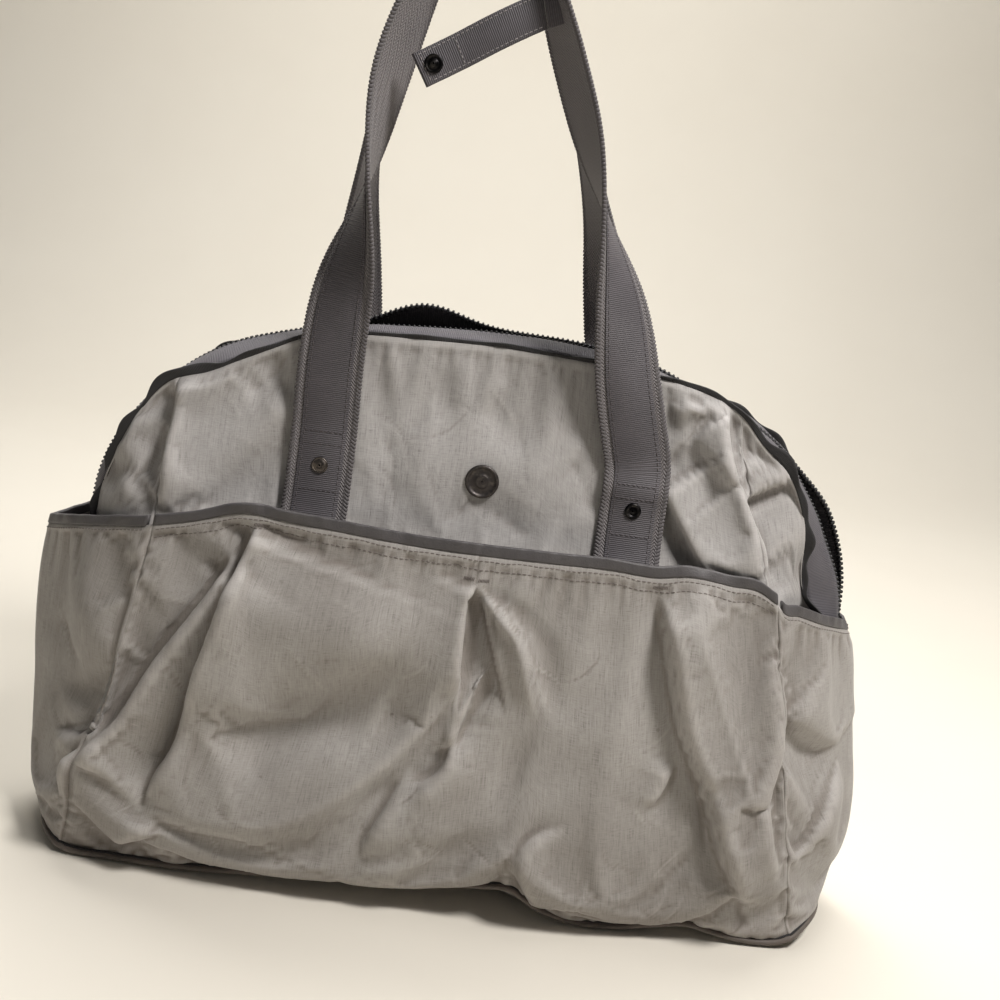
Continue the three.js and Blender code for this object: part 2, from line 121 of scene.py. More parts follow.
# ------------------------------------------------------------------ the zip line
SHOULDER_S = TOP_R * SHOULDER_ANGLE
ZIP_HALF = SHOULDER_S + SHOULDER_R * (ZIP_END_ANGLE - SHOULDER_ANGLE)
SHOULDER_X = (TOP_R - SHOULDER_R) * math.sin(SHOULDER_ANGLE)
SHOULDER_Z = ZIP_TOP - TOP_R + (TOP_R - SHOULDER_R) * math.cos(SHOULDER_ANGLE)


def zip_angle(s):
    length = np.abs(s)
    round_part = SHOULDER_ANGLE + (length - SHOULDER_S) / SHOULDER_R
    return np.sign(s) * np.where(length < SHOULDER_S, length / TOP_R, round_part)


def zip_out(s):
    a = zip_angle(s)
    return np.stack([np.sin(a), 0 * a, np.cos(a)], -1)


def zip_point(s):
    a = zip_angle(s)
    top = np.stack([TOP_R * np.sin(a), 0 * a, ZIP_TOP - TOP_R + TOP_R * np.cos(a)], -1)
    end = np.stack([
        np.sign(s) * SHOULDER_X + SHOULDER_R * np.sin(a), 0 * a, SHOULDER_Z + SHOULDER_R * np.cos(a)], -1)
    return np.where((np.abs(s) < SHOULDER_S)[..., None], top, end)


# How far the seam between gusset and panel lies inside the zip line, along the zip, front and back.
FRONT_DROP = np.array([
    (-369, 8), (-340, 8), (-310, 6), (-258, 8), (-233, 5), (-208, 3), (-182, 9), (-159, 7), (-137, 2),
    (-116, -3), (-83, -4), (-46, -2), (0, -2), (40, -2), (65, -3), (96, -4), (118, -5), (140, -4), (155, -1),
    (181, 9), (207, 12), (250, 22), (286, 30), (312, 28), (345, 12), (369, 8),
], float)
BACK_DROP = np.array([
    (-369, 8), (-330, 12), (-280, 14), (-220, 10), (-190, 4), (-150, 2), (-80, 4), (0, 5), (90, 3),
    (150, 2), (200, 5), (240, 11), (300, 13), (345, 10), (369, 8),
], float)


def wavy(table, s):
    """The table's value at s, as a smooth curve through its points."""
    x, y = table[:, 0], table[:, 1]
    slope = np.gradient(y, x)
    i = np.clip(np.searchsorted(x, s) - 1, 0, len(x) - 2)
    h = x[i + 1] - x[i]
    t = np.clip((s - x[i]) / h, 0, 1)
    return ((2 * t ** 3 - 3 * t ** 2 + 1) * y[i] + (t ** 3 - 2 * t ** 2 + t) * h * slope[i]
            + (3 * t ** 2 - 2 * t ** 3) * y[i + 1] + (t ** 3 - t ** 2) * h * slope[i + 1])


def seam_point(s, back=False):
    s = np.asarray(s, float)
    left = np.maximum(0, ZIP_HALF - np.abs(s))
    steep = np.abs(zip_angle(s))
    taper = np.sin(math.pi / 2 * np.minimum(1, left / 40))
    half = SEAM_Y * lerp(1, 0.66, smooth(math.radians(45), math.radians(85), steep)) * taper + 1
    drop = wavy(BACK_DROP if back else FRONT_DROP, s) * smooth(0, 60, left) + 1
    p = zip_point(s) - zip_out(s) * drop[..., None]
    p[..., 1] = half if back else -half
    return p


# ------------------------------------------------------------------ the bag's surfaces
def station(table, column, z):
    return wavy(table[:, [0, column]], z)


def section(table, u, z, back=False):
    """u runs from -2 at the left fold, past the upright seams at -1 and 1, to 2 at the right fold."""
    u, z = np.broadcast_arrays(np.asarray(u, float), np.asarray(z, float))
    seam_x, seam_y = station(table, 1, z), station(table, 2, z)
    side = np.sign(u)
    end_x = station(table, 4, z) - side * END_LEAN * smooth(60, 205, z) * (1 - smooth(225, 300, z))
    t = np.clip(np.abs(u) - 1, 0, 1)
    bow = station(table, 5, z) * 4 * t * (1 - t)
    length = np.hypot(end_x - seam_x, seam_y)
    end = np.stack([
        side * (lerp(seam_x, end_x, t) + seam_y / length * bow),
        -(lerp(seam_y, 0, t) + (end_x - seam_x) / length * bow), z], -1)
    middle = np.stack([seam_x * u, -seam_y - station(table, 3, z) * (1 - u * u), z], -1)
    p = np.where((np.abs(u) <= 1)[..., None], middle, end)
    return p * [1, -1, 1] if back else p


def zip_at(u, back=False):
    """Where along the zip the cloth's column u ends. The front's upright seams aren't alike."""
    u = np.asarray(u, float)
    seam = np.where(u < 0, 200.0, 158.0) if not back else np.full_like(u, 177.0)
    outer = np.clip(np.abs(u) - 1, 0, 1) ** 1.5
    return np.where(np.abs(u) <= 1, seam * u, np.sign(u) * (seam + (ZIP_HALF - seam) * outer))


# The lower edge lifts between the corners, and waves where the cloth is puckered onto the piping.
FRONT_LIFT = np.array([
    (-300, 6), (-255, 5), (-232, 0), (-210, 0), (-157, 1), (-110, 5), (-74, 8), (-20, 12), (37, 18), (56, 18),
    (70, 9), (85, 3), (122, 0), (150, 5), (171, 8), (190, 4), (207, 1), (230, 1), (258, 11), (300, 10),
], float)
BACK_LIFT = np.array([
    (-300, 4), (-240, 1), (-150, 7), (-60, 12), (20, 14), (80, 11), (140, 9), (200, 6), (240, 3), (300, 6),
], float)


def lifted(p, x, z, back):
    """The points at heights z, raised near the floor by the lower edge's lift at x."""
    p[..., 2] = z + wavy(BACK_LIFT if back else FRONT_LIFT, x) * (1 - smooth(0, 95, z))
    return p


def body(u, share, back=False):
    top = seam_point(zip_at(u, back), back)
    z = lerp(LOW_EDGE, top[..., 2], share)
    pull = smooth(0.55 * top[..., 2], top[..., 2], z)[..., None]
    p = section(BODY, u, z, back) + (top - section(BODY, u, top[..., 2], back)) * pull
    return lifted(p, p[..., 0], z, back)


# Heights of the pockets' rim: it kinks up at the left gather and drops to the ends of the bag.
FRONT_RIM = np.array([
    (-2, 202), (-1.6, 213), (-1.3, 221), (-1, 229), (-0.88, 235), (-0.72, 245), (-0.59, 244), (-0.4, 242.4),
    (-0.2, 240.5), (0.04, 240), (0.27, 240.5), (0.46, 241), (0.61, 239.5), (0.71, 242), (0.85, 239.2),
    (0.95, 237), (1, 231), (1.05, 226), (1.2, 222.5), (1.5, 214), (2, 202),
], float)
BACK_RIM = np.array([
    (-2, 202), (-1.5, 215), (-1, 230), (-0.6, 237), (0, 238), (0.6, 237), (1, 230), (1.5, 214), (2, 202),
], float)


def pocket(u, share, back=False):
    top = wavy(BACK_RIM if back else FRONT_RIM, u)
    z = lerp(LOW_EDGE, top, share)
    return lifted(section(POCKET, u, z, back), section(POCKET, u, 0 * top, back)[..., 0], z, back)


# ------------------------------------------------------------------ loops of cloth round the bag
def loop_grid(surface, rows, step):
    """A loop that starts at the left fold and goes by the front; u and the side of each column."""
    end = np.linspace(1, 2, int(END_RUN / step) + 1)
    middle = np.linspace(-1, 1, int(SIDE_RUN / step) // 2 * 2 + 1)
    front = np.concatenate([-end[::-1], middle[1:-1], end])
    back = front[::-1][1:-1]
    share = np.linspace(0, 1, rows)[:, None]
    grid = np.concatenate([surface(front[None], share), surface(back[None], share, True)], 1)
    u = np.concatenate([front, back])
    is_back = np.concatenate([np.zeros(len(front), bool), np.ones(len(back), bool)])
    return grid, u, is_back


def grid_normals(p):
    """Outward normals of a loop of cloth, whose columns join round."""
    dc = np.roll(p, -1, 1) - np.roll(p, 1, 1)
    dr = np.gradient(p, axis=0)
    return unit(np.cross(dc, dr))


def grid_faces(rows, cols, closed=False):
    r = np.arange(rows - 1)[:, None]
    c = np.arange(cols if closed else cols - 1)[None]
    nxt = (c + 1) % cols
    quads = [r * cols + c, r * cols + nxt, (r + 1) * cols + nxt, (r + 1) * cols + c]
    return np.stack([np.broadcast_to(q, (rows - 1, c.shape[1])) for q in quads], -1).reshape(-1, 4)


def finer(p):
    """Twice as many rows and columns, on smooth curves through the old ones; the columns join round."""
    def between(a, b, c, d):
        return (-a + 9 * b + 9 * c - d) / 16
    mid = between(np.roll(p, 1, 1), p, np.roll(p, -1, 1), np.roll(p, -2, 1))
    wide = np.empty((p.shape[0], p.shape[1] * 2, 3))
    wide[:, ::2], wide[:, 1::2] = p, mid
    q = np.concatenate([2 * wide[:1] - wide[1:2], wide, 2 * wide[-1:] - wide[-2:-1]])
    rows = np.empty((wide.shape[0] * 2 - 1, wide.shape[1], 3))
    rows[::2], rows[1::2] = wide, between(q[:-3], q[1:-2], q[2:-1], q[3:])
    return rows


def finer_columns(u):
    mid = (u + np.roll(u, -1)) / 2
    out = np.empty(len(u) * 2)
    out[::2], out[1::2] = u, mid
    return out


# ------------------------------------------------------------------ folds
def crumple(w, z, seed, count, w_range, z_range, rise, length, width):
    """Small crisp creases at random places and angles; the seed keeps them the same each time."""
    rng = np.random.RandomState(seed)
    out = np.zeros(w.shape)
    for _ in range(count):
        w0, z0 = rng.uniform(*w_range), rng.uniform(*z_range)
        angle = rng.uniform(0, math.pi)
        size = rng.uniform(0.4, 1.0) * length
        thick = rng.uniform(0.6, 1.5) * width
        bend = rng.uniform(-0.5, 0.5)
        sign = rng.choice([-1, 1])
        dx, dz = w - w0, z - z0
        t = (dx * math.cos(angle) + dz * math.sin(angle)) / size
        n = -dx * math.sin(angle) + dz * math.cos(angle) - bend * size * (t * t - 0.3)
        near = (np.abs(t) < 1) & (np.abs(n) < thick * 5)
        ridge = np.exp(-np.abs(n[near]) / thick) * (1 - t[near] ** 2) ** 1.5
        out[near] += sign * rise * rng.uniform(0.4, 1.0) * ridge
    return out


# ------------------------------------------------------------------ cloth simulation
def settle(points, pin, frames, spare, pressure, gravity, cap):
    """Lets a loop of cloth, cut a little too large, buckle and sag between its seams."""
    rows, cols = points.shape[:2]
    mesh = bpy.data.meshes.new("settling")
    mesh.from_pydata((points.reshape(-1, 3) * MM).tolist(), [], grid_faces(rows, cols, True).tolist())
    obj = bpy.data.objects.new("settling", mesh)
    bpy.context.scene.collection.objects.link(obj)
    group = obj.vertex_groups.new(name="pin")
    weights = pin.reshape(-1)
    for value in np.unique(np.round(weights, 2)):
        if value > 0:
            chosen = np.nonzero(np.abs(np.round(weights, 2) - value) < 1e-6)[0]
            group.add(chosen.tolist(), float(value), "REPLACE")
    modifier = obj.modifiers.new("cloth", "CLOTH")
    s = modifier.settings
    s.quality = 6
    s.mass = 0.25
    s.tension_stiffness = s.compression_stiffness = 12
    s.shear_stiffness = 5
    s.bending_stiffness = 6.0
    s.tension_damping = s.compression_damping = s.shear_damping = 10
    s.air_damping = 4
    s.vertex_group_mass = "pin"
    s.pin_stiffness = 2
    s.shrink_min = -spare
    s.use_pressure = pressure != 0
    s.uniform_pressure_force = pressure
    s.effector_weights.gravity = gravity
    modifier.collision_settings.use_collision = False
    modifier.point_cache.frame_start, modifier.point_cache.frame_end = 1, frames + 1
    for f in range(1, frames + 1):
        bpy.context.scene.frame_set(f)
    evaluated = obj.evaluated_get(bpy.context.evaluated_depsgraph_get())
    made = np.empty(rows * cols * 3)
    evaluated.data.vertices.foreach_get("co", made)
    moved = made.reshape(points.shape) / MM - points
    length = np.linalg.norm(moved, axis=-1, keepdims=True)
    moved *= np.tanh(length / cap) * cap / np.maximum(length, 1e-6)
    bpy.data.objects.remove(obj)
    bpy.data.meshes.remove(mesh)
    bpy.context.scene.frame_set(1)
    return points + moved


# ------------------------------------------------------------------ making meshes
def make(name, verts, faces, material, body_name="bag", uv=None, flat=False):
    mesh = bpy.data.meshes.new(name)
    if isinstance(faces, np.ndarray):
        n, k = faces.shape
        mesh.vertices.add(len(verts))
        mesh.vertices.foreach_set("co", (np.asarray(verts) * MM).ravel())
        mesh.loops.add(n * k)
        mesh.loops.foreach_set("vertex_index", faces.ravel())
        mesh.polygons.add(n)
        mesh.polygons.foreach_set("loop_start", np.arange(0, n * k, k))
        mesh.update(calc_edges=True)
    else:
        mesh.from_pydata((np.asarray(verts) * MM).tolist(), [], [tuple(f) for f in faces])
    mesh.validate()
    if uv is not None:
        layer = mesh.uv_layers.new(name="cloth")
        index = np.empty(len(mesh.loops), int)
        mesh.loops.foreach_get("vertex_index", index)
        layer.data.foreach_set("uv", (np.asarray(uv) * MM)[index].ravel())
    if not flat:
        mesh.polygons.foreach_set("use_smooth", np.ones(len(mesh.polygons), bool))
    mesh.materials.append(material)
    obj = bpy.data.objects.new(name, mesh)
    bpy.context.scene.collection.objects.link(obj)
    if body_name:
        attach(obj, body_name)
    return obj


def cloth_slab(outer, uv, thickness, normals=None):
    """Verts, faces and uv of a closed slab whose outer side is the grid."""
    rows, cols = outer.shape[:2]
    if normals is None:
        normals = unit(np.cross(np.gradient(outer, axis=1), np.gradient(outer, axis=0)))
    inner = outer - normals * thickness
    n = rows * cols
    front = grid_faces(rows, cols)
    bottom, left = np.arange(cols), np.arange(rows) * cols
    borders = (bottom, ((rows - 1) * cols + bottom)[::-1], left[::-1], left + cols - 1)
    walls = [np.stack([a[:-1], a[:-1] + n, a[1:] + n, a[1:]], -1) for a in borders]
    verts = np.concatenate([outer.reshape(-1, 3), inner.reshape(-1, 3)])
    return verts, np.concatenate([front, front[:, ::-1] + n, *walls]), np.concatenate([uv.reshape(-1, 2)] * 2)


def sweep(path, across, out, profile, closed=False):
    """A closed profile (across, out) carried along a path; its ends are capped unless it closes."""
    profile = np.array(profile, float)
    path, across, out = (np.asarray(a, float) for a in (path, across, out))
    ring = path[:, None] + across[:, None] * profile[None, :, :1] + out[:, None] * profile[None, :, 1:]
    n, k = ring.shape[:2]
    run, around = length_along(path), length_along(profile)
    i = np.arange(n if closed else n - 1)[:, None]
    j = np.arange(k)[None]
    nxt_i, nxt_j = (i + 1) % n, (j + 1) % k
    quads = np.stack([i * k + j, nxt_i * k + j, nxt_i * k + nxt_j, i * k + nxt_j], -1).reshape(-1, 4)
    faces = [tuple(q) for q in quads.tolist()]
    if not closed:
        faces += [tuple(range(k)), tuple(range((n - 1) * k, n * k))[::-1]]
    uv = np.stack(np.broadcast_arrays(around[None], run[:, None]), -1).reshape(-1, 2)
    return ring.reshape(-1, 3), faces, uv


def outward_faces(verts, faces):
    """The same faces, turned if the closed mesh they make is inside out."""
    v = np.asarray(verts)
    total = 0.0
    for f in faces:
        a = v[f[0]]
        for p, q in zip(f[1:-1], f[2:]):
            total += np.dot(a, np.cross(v[p], v[q]))
    return faces if total > 0 else [tuple(f)[::-1] for f in faces]


def copies(template, faces, places, x, y, z):
    """Many copies of a small closed template at places, with their own axes, as one mesh."""
    verts = (places[:, None] + template[None, :, 0:1] * x[:, None] + template[None, :, 1:2] * y[:, None]
             + template[None, :, 2:3] * z[:, None])
    faces = np.array(faces)
    first = (np.arange(len(places)) * len(template))[:, None, None]
    return verts.reshape(-1, 3), (faces[None] + first).reshape(-1, faces.shape[1])


def capsule(length, radius, flat=1.0, sides=6):
    """A small rounded bar along x."""
    xs = np.array([-0.5, -0.42, -0.2, 0.2, 0.42, 0.5]) * length
    rs = np.array([0.25, 0.75, 1, 1, 0.75, 0.25]) * radius
    a = np.arange(sides) * 2 * math.pi / sides
    verts = np.array([(x, r * math.cos(t), r * flat * math.sin(t)) for x, r in zip(xs, rs) for t in a])
    faces = [tuple(f) for f in grid_faces(len(xs), sides, True).tolist()]
    last = (len(xs) - 1) * sides
    for j in range(0, sides - 2, 2):
        faces.append((0, (j + 3) % sides, j + 2, j + 1))
        faces.append((last, last + j + 1, last + j + 2, last + (j + 3) % sides))
    return verts, faces


# ------------------------------------------------------------------ materials
class Nodes:
    """Short ways to add and link shader nodes."""

    def __init__(self, tree):
        self.tree = tree

    def add(self, kind, **settings):
        node = self.tree.nodes.new(kind)
        for key, value in settings.items():
            setattr(node, key, value)
        return node

    def link(self, a, b):
        self.tree.links.new(a, b)

    def uv(self):
        return self.add("ShaderNodeUVMap", uv_map="cloth").outputs[0]

    def place(self):
        return self.add("ShaderNodeTexCoord").outputs["Object"]

    def noise(self, vector, scale, detail=3.0, rough=0.55, distortion=0.0):
        node = self.add("ShaderNodeTexNoise")
        node.inputs["Scale"].default_value = scale
        node.inputs["Detail"].default_value = detail
        node.inputs["Roughness"].default_value = rough
        node.inputs["Distortion"].default_value = distortion
        self.link(vector, node.inputs["Vector"])
        return node.outputs["Fac"]

    def yarns(self, vector, across, along, detail=2.0, rough=0.6):
        """Noise with this many grains a metre across and along."""
        node = self.add("ShaderNodeMapping")
        node.inputs["Scale"].default_value = (across, along, 1)
        self.link(vector, node.inputs["Vector"])
        return self.noise(node.outputs[0], 1, detail, rough)

    def ribs(self, vector, pitch, distortion=0.0):
        """Straight ribs across the cloth's length, with this pitch in metres."""
        node = self.add("ShaderNodeTexWave", bands_direction="Y", wave_profile="SIN")
        node.inputs["Scale"].default_value = 0.314159 / pitch
        node.inputs["Distortion"].default_value = distortion
        node.inputs["Detail"].default_value = 1
        self.link(vector, node.inputs["Vector"])
        return node.outputs["Fac"]

    def ramp(self, fac, stops):
        node = self.add("ShaderNodeValToRGB")
        elements = node.color_ramp.elements
        while len(elements) < len(stops):
            elements.new(0.5)
        for element, (at, colour) in zip(elements, stops):
            element.position = at
            element.color = (*colour, 1)
        self.link(fac, node.inputs["Fac"])
        return node.outputs["Color"]

    def patches(self, fac, low, high, strength=None):
        """0 where fac is under low, growing to strength where it is over high."""
        share = self.ramp(fac, [(low, (0, 0, 0)), (high, (1, 1, 1))])
        return share if strength is None else self.math("MULTIPLY", share, strength)

    def math(self, operation, a, b):
        node = self.add("ShaderNodeMath", operation=operation)
        for socket, value in zip(node.inputs, (a, b)):
            if isinstance(value, (int, float)):
                socket.default_value = value
            else:
                self.link(value, socket)
        return node.outputs[0]

    def mix(self, fac, a, b, blend="MIX"):
        node = self.add("ShaderNodeMix", data_type="RGBA", blend_type=blend)
        for socket, value in ((node.inputs[0], fac), (node.inputs[6], a), (node.inputs[7], b)):
            if isinstance(value, (int, float)):
                socket.default_value = value
            elif isinstance(value, tuple):
                socket.default_value = (*value, 1)
            else:
                self.link(value, socket)
        return node.outputs[2]

    def attribute(self, name):
        return self.add("ShaderNodeAttribute", attribute_name=name).outputs["Fac"]

    def bump(self, height, strength, distance, normal=None):
        node = self.add("ShaderNodeBump")
        node.inputs["Strength"].default_value = strength
        node.inputs["Distance"].default_value = distance
        self.link(height, node.inputs["Height"])
        if normal is not None:
            self.link(normal, node.inputs["Normal"])
        return node.outputs[0]


def new_material(name, values):
    """A material, its nodes and its shader, with these plain values on the shader's sockets."""
    m = bpy.data.materials.new(name)
    m.use_nodes = True
    shader = m.node_tree.nodes["Principled BSDF"]
    for socket, value in values.items():
        shader.inputs[socket].default_value = value
    return m, Nodes(m.node_tree), shader


def gray(r, g, b):
    """An sRGB colour of 0 to 255 as linear light."""
    return tuple((c / 255 / 12.92) if c <= 10 else ((c / 255 + 0.055) / 1.055) ** 2.4 for c in (r, g, b))


def times(colour, factor, more=0.0):
    return tuple(min(1, c * factor + more) for c in colour)


def heather(name, light, dark, soil_and_shade=1.0):
    """Space-dyed plain weave: thick and thin upright yarns of two greys, finer cross yarns, blotches of
    soiling and painted shade, painted shade in hollows.
    """
    m, n, shader = new_material(name, {
        "Specular IOR Level": 0.35, "Sheen Weight": 0.12, "Sheen Roughness": 0.45})
    uv = n.uv()
    warp = n.yarns(uv, 2100, 95)
    slub = n.yarns(uv, 900, 42, rough=0.5)
    weft = n.yarns(uv, 130, 1900)
    yarn = n.math("ADD", n.math("MULTIPLY", warp, 0.38), n.math("MULTIPLY", slub, 0.28))
    yarn = n.math("ADD", yarn, n.math("MULTIPLY", weft, 0.34))
    between = tuple(lerp(np.array(dark), np.array(light), 0.68))
    colour = n.ramp(yarn, [(0.3, dark), (0.47, between), (0.66, light)])
    place = n.place()
    # blotchy darker patches, partly soiling and partly painted shade; the pocket's and the base's cloth get
    # more of them
    soiling_and_shade = n.patches(n.noise(place, 9), 0.42, 0.7, 0.24 * soil_and_shade)
    colour = n.mix(soiling_and_shade, colour, gray(132, 120, 106), "MULTIPLY")
    spots = n.patches(n.noise(place, 105, 2.0, 0.5), 0.735, 0.78)
    spots = n.math("MULTIPLY", spots, n.patches(n.noise(place, 14, 1.0), 0.55, 0.68))
    colour = n.mix(n.math("MULTIPLY", spots, 0.45 * soil_and_shade), colour, gray(84, 70, 60))
    # painted shade in the cloth's hollows and creases, and darker towards the ground
    colour = n.mix(n.math("MULTIPLY", n.attribute("crease_shade_and_low_darkening"), 0.55 * soil_and_shade), colour, gray(92, 78, 66))
    rub = n.math("MULTIPLY", n.attribute("rub"), n.noise(place, 120, 3.0, 0.6))
    colour = n.mix(n.math("MULTIPLY", rub, 0.5), colour, gray(214, 208, 204))
    n.link(colour, shader.inputs["Base Color"])
    n.link(n.ramp(slub, [(0.3, (0.62,) * 3), (0.7, (0.78,) * 3)]), shader.inputs["Roughness"])
    large = n.bump(n.noise(place, 46, 4.0, 0.62, 0.6), 0.22, 0.0035)
    threads = n.math("ADD", n.math("MULTIPLY", warp, 0.6), n.math("MULTIPLY", weft, 0.4))
    n.link(n.bump(threads, 0.28, 0.0004, large), shader.inputs["Normal"])
    return m


def grosgrain(name, base, dark, pitch=0.0011, rough=0.62, worn=0.25):
    """Ribbed ribbon: ribs across its length, with a little fuzz and fading on them."""
    m, n, shader = new_material(name, {"Roughness": rough, "Sheen Weight": 0.1})
    uv = n.uv()
    ribs = n.ribs(uv, pitch, 0.12)
    fibre = n.yarns(uv, 2400, 500)
    colour = n.mix(ribs, dark, base)
    colour = n.mix(n.math("MULTIPLY", fibre, 0.35), colour, times(base, 1.5))
    fade = n.noise(n.place(), 26, 3.0, 0.6)
    colour = n.mix(n.patches(fade, 0.4, 0.75, worn), colour, times(base, 1.9))
    n.link(colour, shader.inputs["Base Color"])
    height = n.math("ADD", ribs, n.math("MULTIPLY", fibre, 0.35))
    n.link(n.bump(height, 0.55, 0.0004), shader.inputs["Normal"])
    return m


def webbing(name, base, dark):
    """Heavy twill webbing: steep diagonal ribs that meet in herringbones."""
    m, n, shader = new_material(name, {"Roughness": 0.66, "Sheen Weight": 0.12})
    uv = n.uv()
    apart = n.add("ShaderNodeSeparateXYZ")
    n.link(uv, apart.inputs[0])
    fold = n.math("PINGPONG", apart.outputs[0], 0.0032)
    slanted = n.math("ADD", apart.outputs[1], n.math("MULTIPLY", fold, 1.15))
    together = n.add("ShaderNodeCombineXYZ")
    n.link(slanted, together.inputs[1])
    n.link(apart.outputs[0], together.inputs[0])
    ribs = n.ribs(together.outputs[0], 0.0021)
    fibre = n.yarns(uv, 1500, 700)
    colour = n.mix(ribs, dark, base)
    colour = n.mix(n.math("MULTIPLY", fibre, 0.4), colour, times(base, 1.5))
    fade = n.noise(n.place(), 30, 3.0, 0.6)
    colour = n.mix(n.math("MULTIPLY", fade, 0.22), colour, times(base, 1.8))
    n.link(colour, shader.inputs["Base Color"])
    height = n.math("ADD", ribs, n.math("MULTIPLY", fibre, 0.3))
    n.link(n.bump(height, 0.7, 0.0006), shader.inputs["Normal"])
    return m


def plain_weave(name, base, rough=0.6, worn=0.3):
    """Fine smooth weave for bindings, linings and thread."""
    m, n, shader = new_material(name, {"Roughness": rough, "Specular IOR Level": 0.4, "Sheen Weight": 0.08})
    place = n.place()
    fine = n.noise(place, 900, 2.0, 0.6)
    fade = n.noise(place, 34, 4.0, 0.6)
    colour = n.mix(n.math("MULTIPLY", fine, 0.35), base, times(base, 0.55))
    colour = n.mix(n.patches(fade, 0.42, 0.75, worn), colour, times(base, 1.7, 0.01))
    n.link(colour, shader.inputs["Base Color"])
    n.link(n.bump(n.math("ADD", fine, n.math("MULTIPLY", fade, 2.0)), 0.4, 0.0006), shader.inputs["Normal"])
    return m


def metal(name, base, rough, worn, metallic=1.0):
    """Plated or painted fitting with a fine grain and brighter rubbed places."""
    m, n, shader = new_material(name, {"Metallic": metallic})
    place = n.place()
    grain = n.noise(place, 1400, 2.0, 0.6)
    rubbed = n.noise(place, 260, 3.0, 0.6)
    n.link(n.mix(n.patches(rubbed, 0.48, 0.7, 0.5), base, worn), shader.inputs["Base Color"])
    n.link(n.ramp(rubbed, [(0.3, (rough,) * 3), (0.75, (rough + 0.22,) * 3)]), shader.inputs["Roughness"])
    n.link(n.bump(grain, 0.15, 0.0002), shader.inputs["Normal"])
    return m


shell_cloth = heather("heather_cloth", gray(184, 181, 179), gray(124, 121, 120))
# the pocket's cloth: the shell's weave a little darker and warmer, with more dark blotches, as painted shade
# over the pocket
shaded_pocket_cloth = heather("heather_cloth_pocket_shaded", gray(177, 173, 169), gray(116, 112, 108), 1.5)
base_cloth = heather("heather_cloth_base", gray(172, 170, 166), gray(110, 108, 105), 2.2)
binding_cloth = plain_weave("charcoal_binding", gray(80, 77, 78), 0.5, worn=0.3)
tape_ribbon = grosgrain("charcoal_ribbon", gray(82, 78, 82), gray(44, 41, 44), 0.0012)
gusset_tape = grosgrain("charcoal_gusset_tape", gray(88, 85, 90), gray(62, 59, 64), 0.0012)
strap_webbing = webbing("charcoal_webbing", gray(112, 107, 108), gray(52, 49, 51))
black_binding = grosgrain("black_seam_binding", gray(34, 32, 33), gray(18, 17, 18), 0.001, 0.7, 0.15)
piping_cord = plain_weave("grey_piping", gray(92, 84, 78), 0.6, worn=0.5)
lining_cloth = plain_weave("dark_lining", gray(46, 46, 50), 0.72, worn=0.2)
board_cloth = plain_weave("board_cover", gray(40, 40, 43), 0.75, worn=0.2)
zip_plastic = metal("black_zip_teeth", gray(22, 22, 23), 0.38, gray(50, 50, 52), 0.0)
gunmetal = metal("dark_gunmetal", gray(92, 86, 82), 0.3, gray(150, 138, 124))
black_metal = metal("black_metal", gray(34, 33, 34), 0.3, gray(96, 92, 88))
badge_metal = metal("badge_gunmetal", gray(78, 74, 73), 0.42, gray(128, 120, 112))
thread_gray = plain_weave("grey_thread", gray(118, 110, 106), 0.6, worn=0.2)
thread_dark = plain_weave("dark_thread", gray(84, 78, 80), 0.6, worn=0.2)
thread_light = plain_weave("light_thread", gray(158, 152, 152), 0.55, worn=0.2)

# ------------------------------------------------------------------ the pockets and the body as cloth
STEP = 3.6


def smooth_line(points, n=28):
    """Points along a Catmull-Rom curve through the given ones."""
    p = np.array(points, float)
    p = np.concatenate([2 * p[:1] - p[1:2], p, 2 * p[-1:] - p[-2:-1]])
    out = []
    count = len(p) - 3
    for t in np.linspace(0, count, n):
        i = min(int(t), count - 1)
        f = t - i
        a, b, c, d = p[i:i + 4]
        out.append(0.5 * (2 * b + (c - a) * f + (2 * a - 5 * b + 4 * c - d) * f * f
                          + (3 * b - a - 3 * c + d) * f ** 3))
    return np.array(out)


def near_line(x, z, line):
    """Signed distance from a line (positive on its left hand), share of the way along it, its direction.

    Far from the line, stretches that are almost equally near share the answer, so that nothing jumps.
    Past its ends the share stays exactly 0 or 1.
    """
    start, step = line[:-1], np.diff(line, axis=0)
    length = np.linalg.norm(step, axis=1)[:, None]
    run = length_along(line)
    rx, rz = x[None] - start[:, :1], z[None] - start[:, 1:]
    dx, dz = step[:, :1], step[:, 1:]
    t = np.clip((rx * dx + rz * dz) / length ** 2, 0, 1)
    dist = np.hypot(rx - t * dx, rz - t * dz)
    side = np.where(dx * rz - dz * rx < 0, -1.0, 1.0)
    best = dist.min(0)
    weight = np.exp(-(dist - best) / (0.4 + 0.14 * best))
    weight /= weight.sum(0)
    place = (run[:-1, None] + t * length) / run[-1]
    nearest = np.take_along_axis(place, dist.argmin(0)[None], 0)[0]
    inside = smooth(0, 0.08, nearest) * smooth(0, 0.08, 1 - nearest)
    along = lerp(nearest, (weight * place).sum(0), inside)
    signed, way_x, way_z = ((weight * part).sum(0) for part in (dist * side, dx / length, dz / length))
    return signed, along, way_x, way_z


SHARPEST = 5.2      # only folds this narrow are drawn again after the cloth has settled


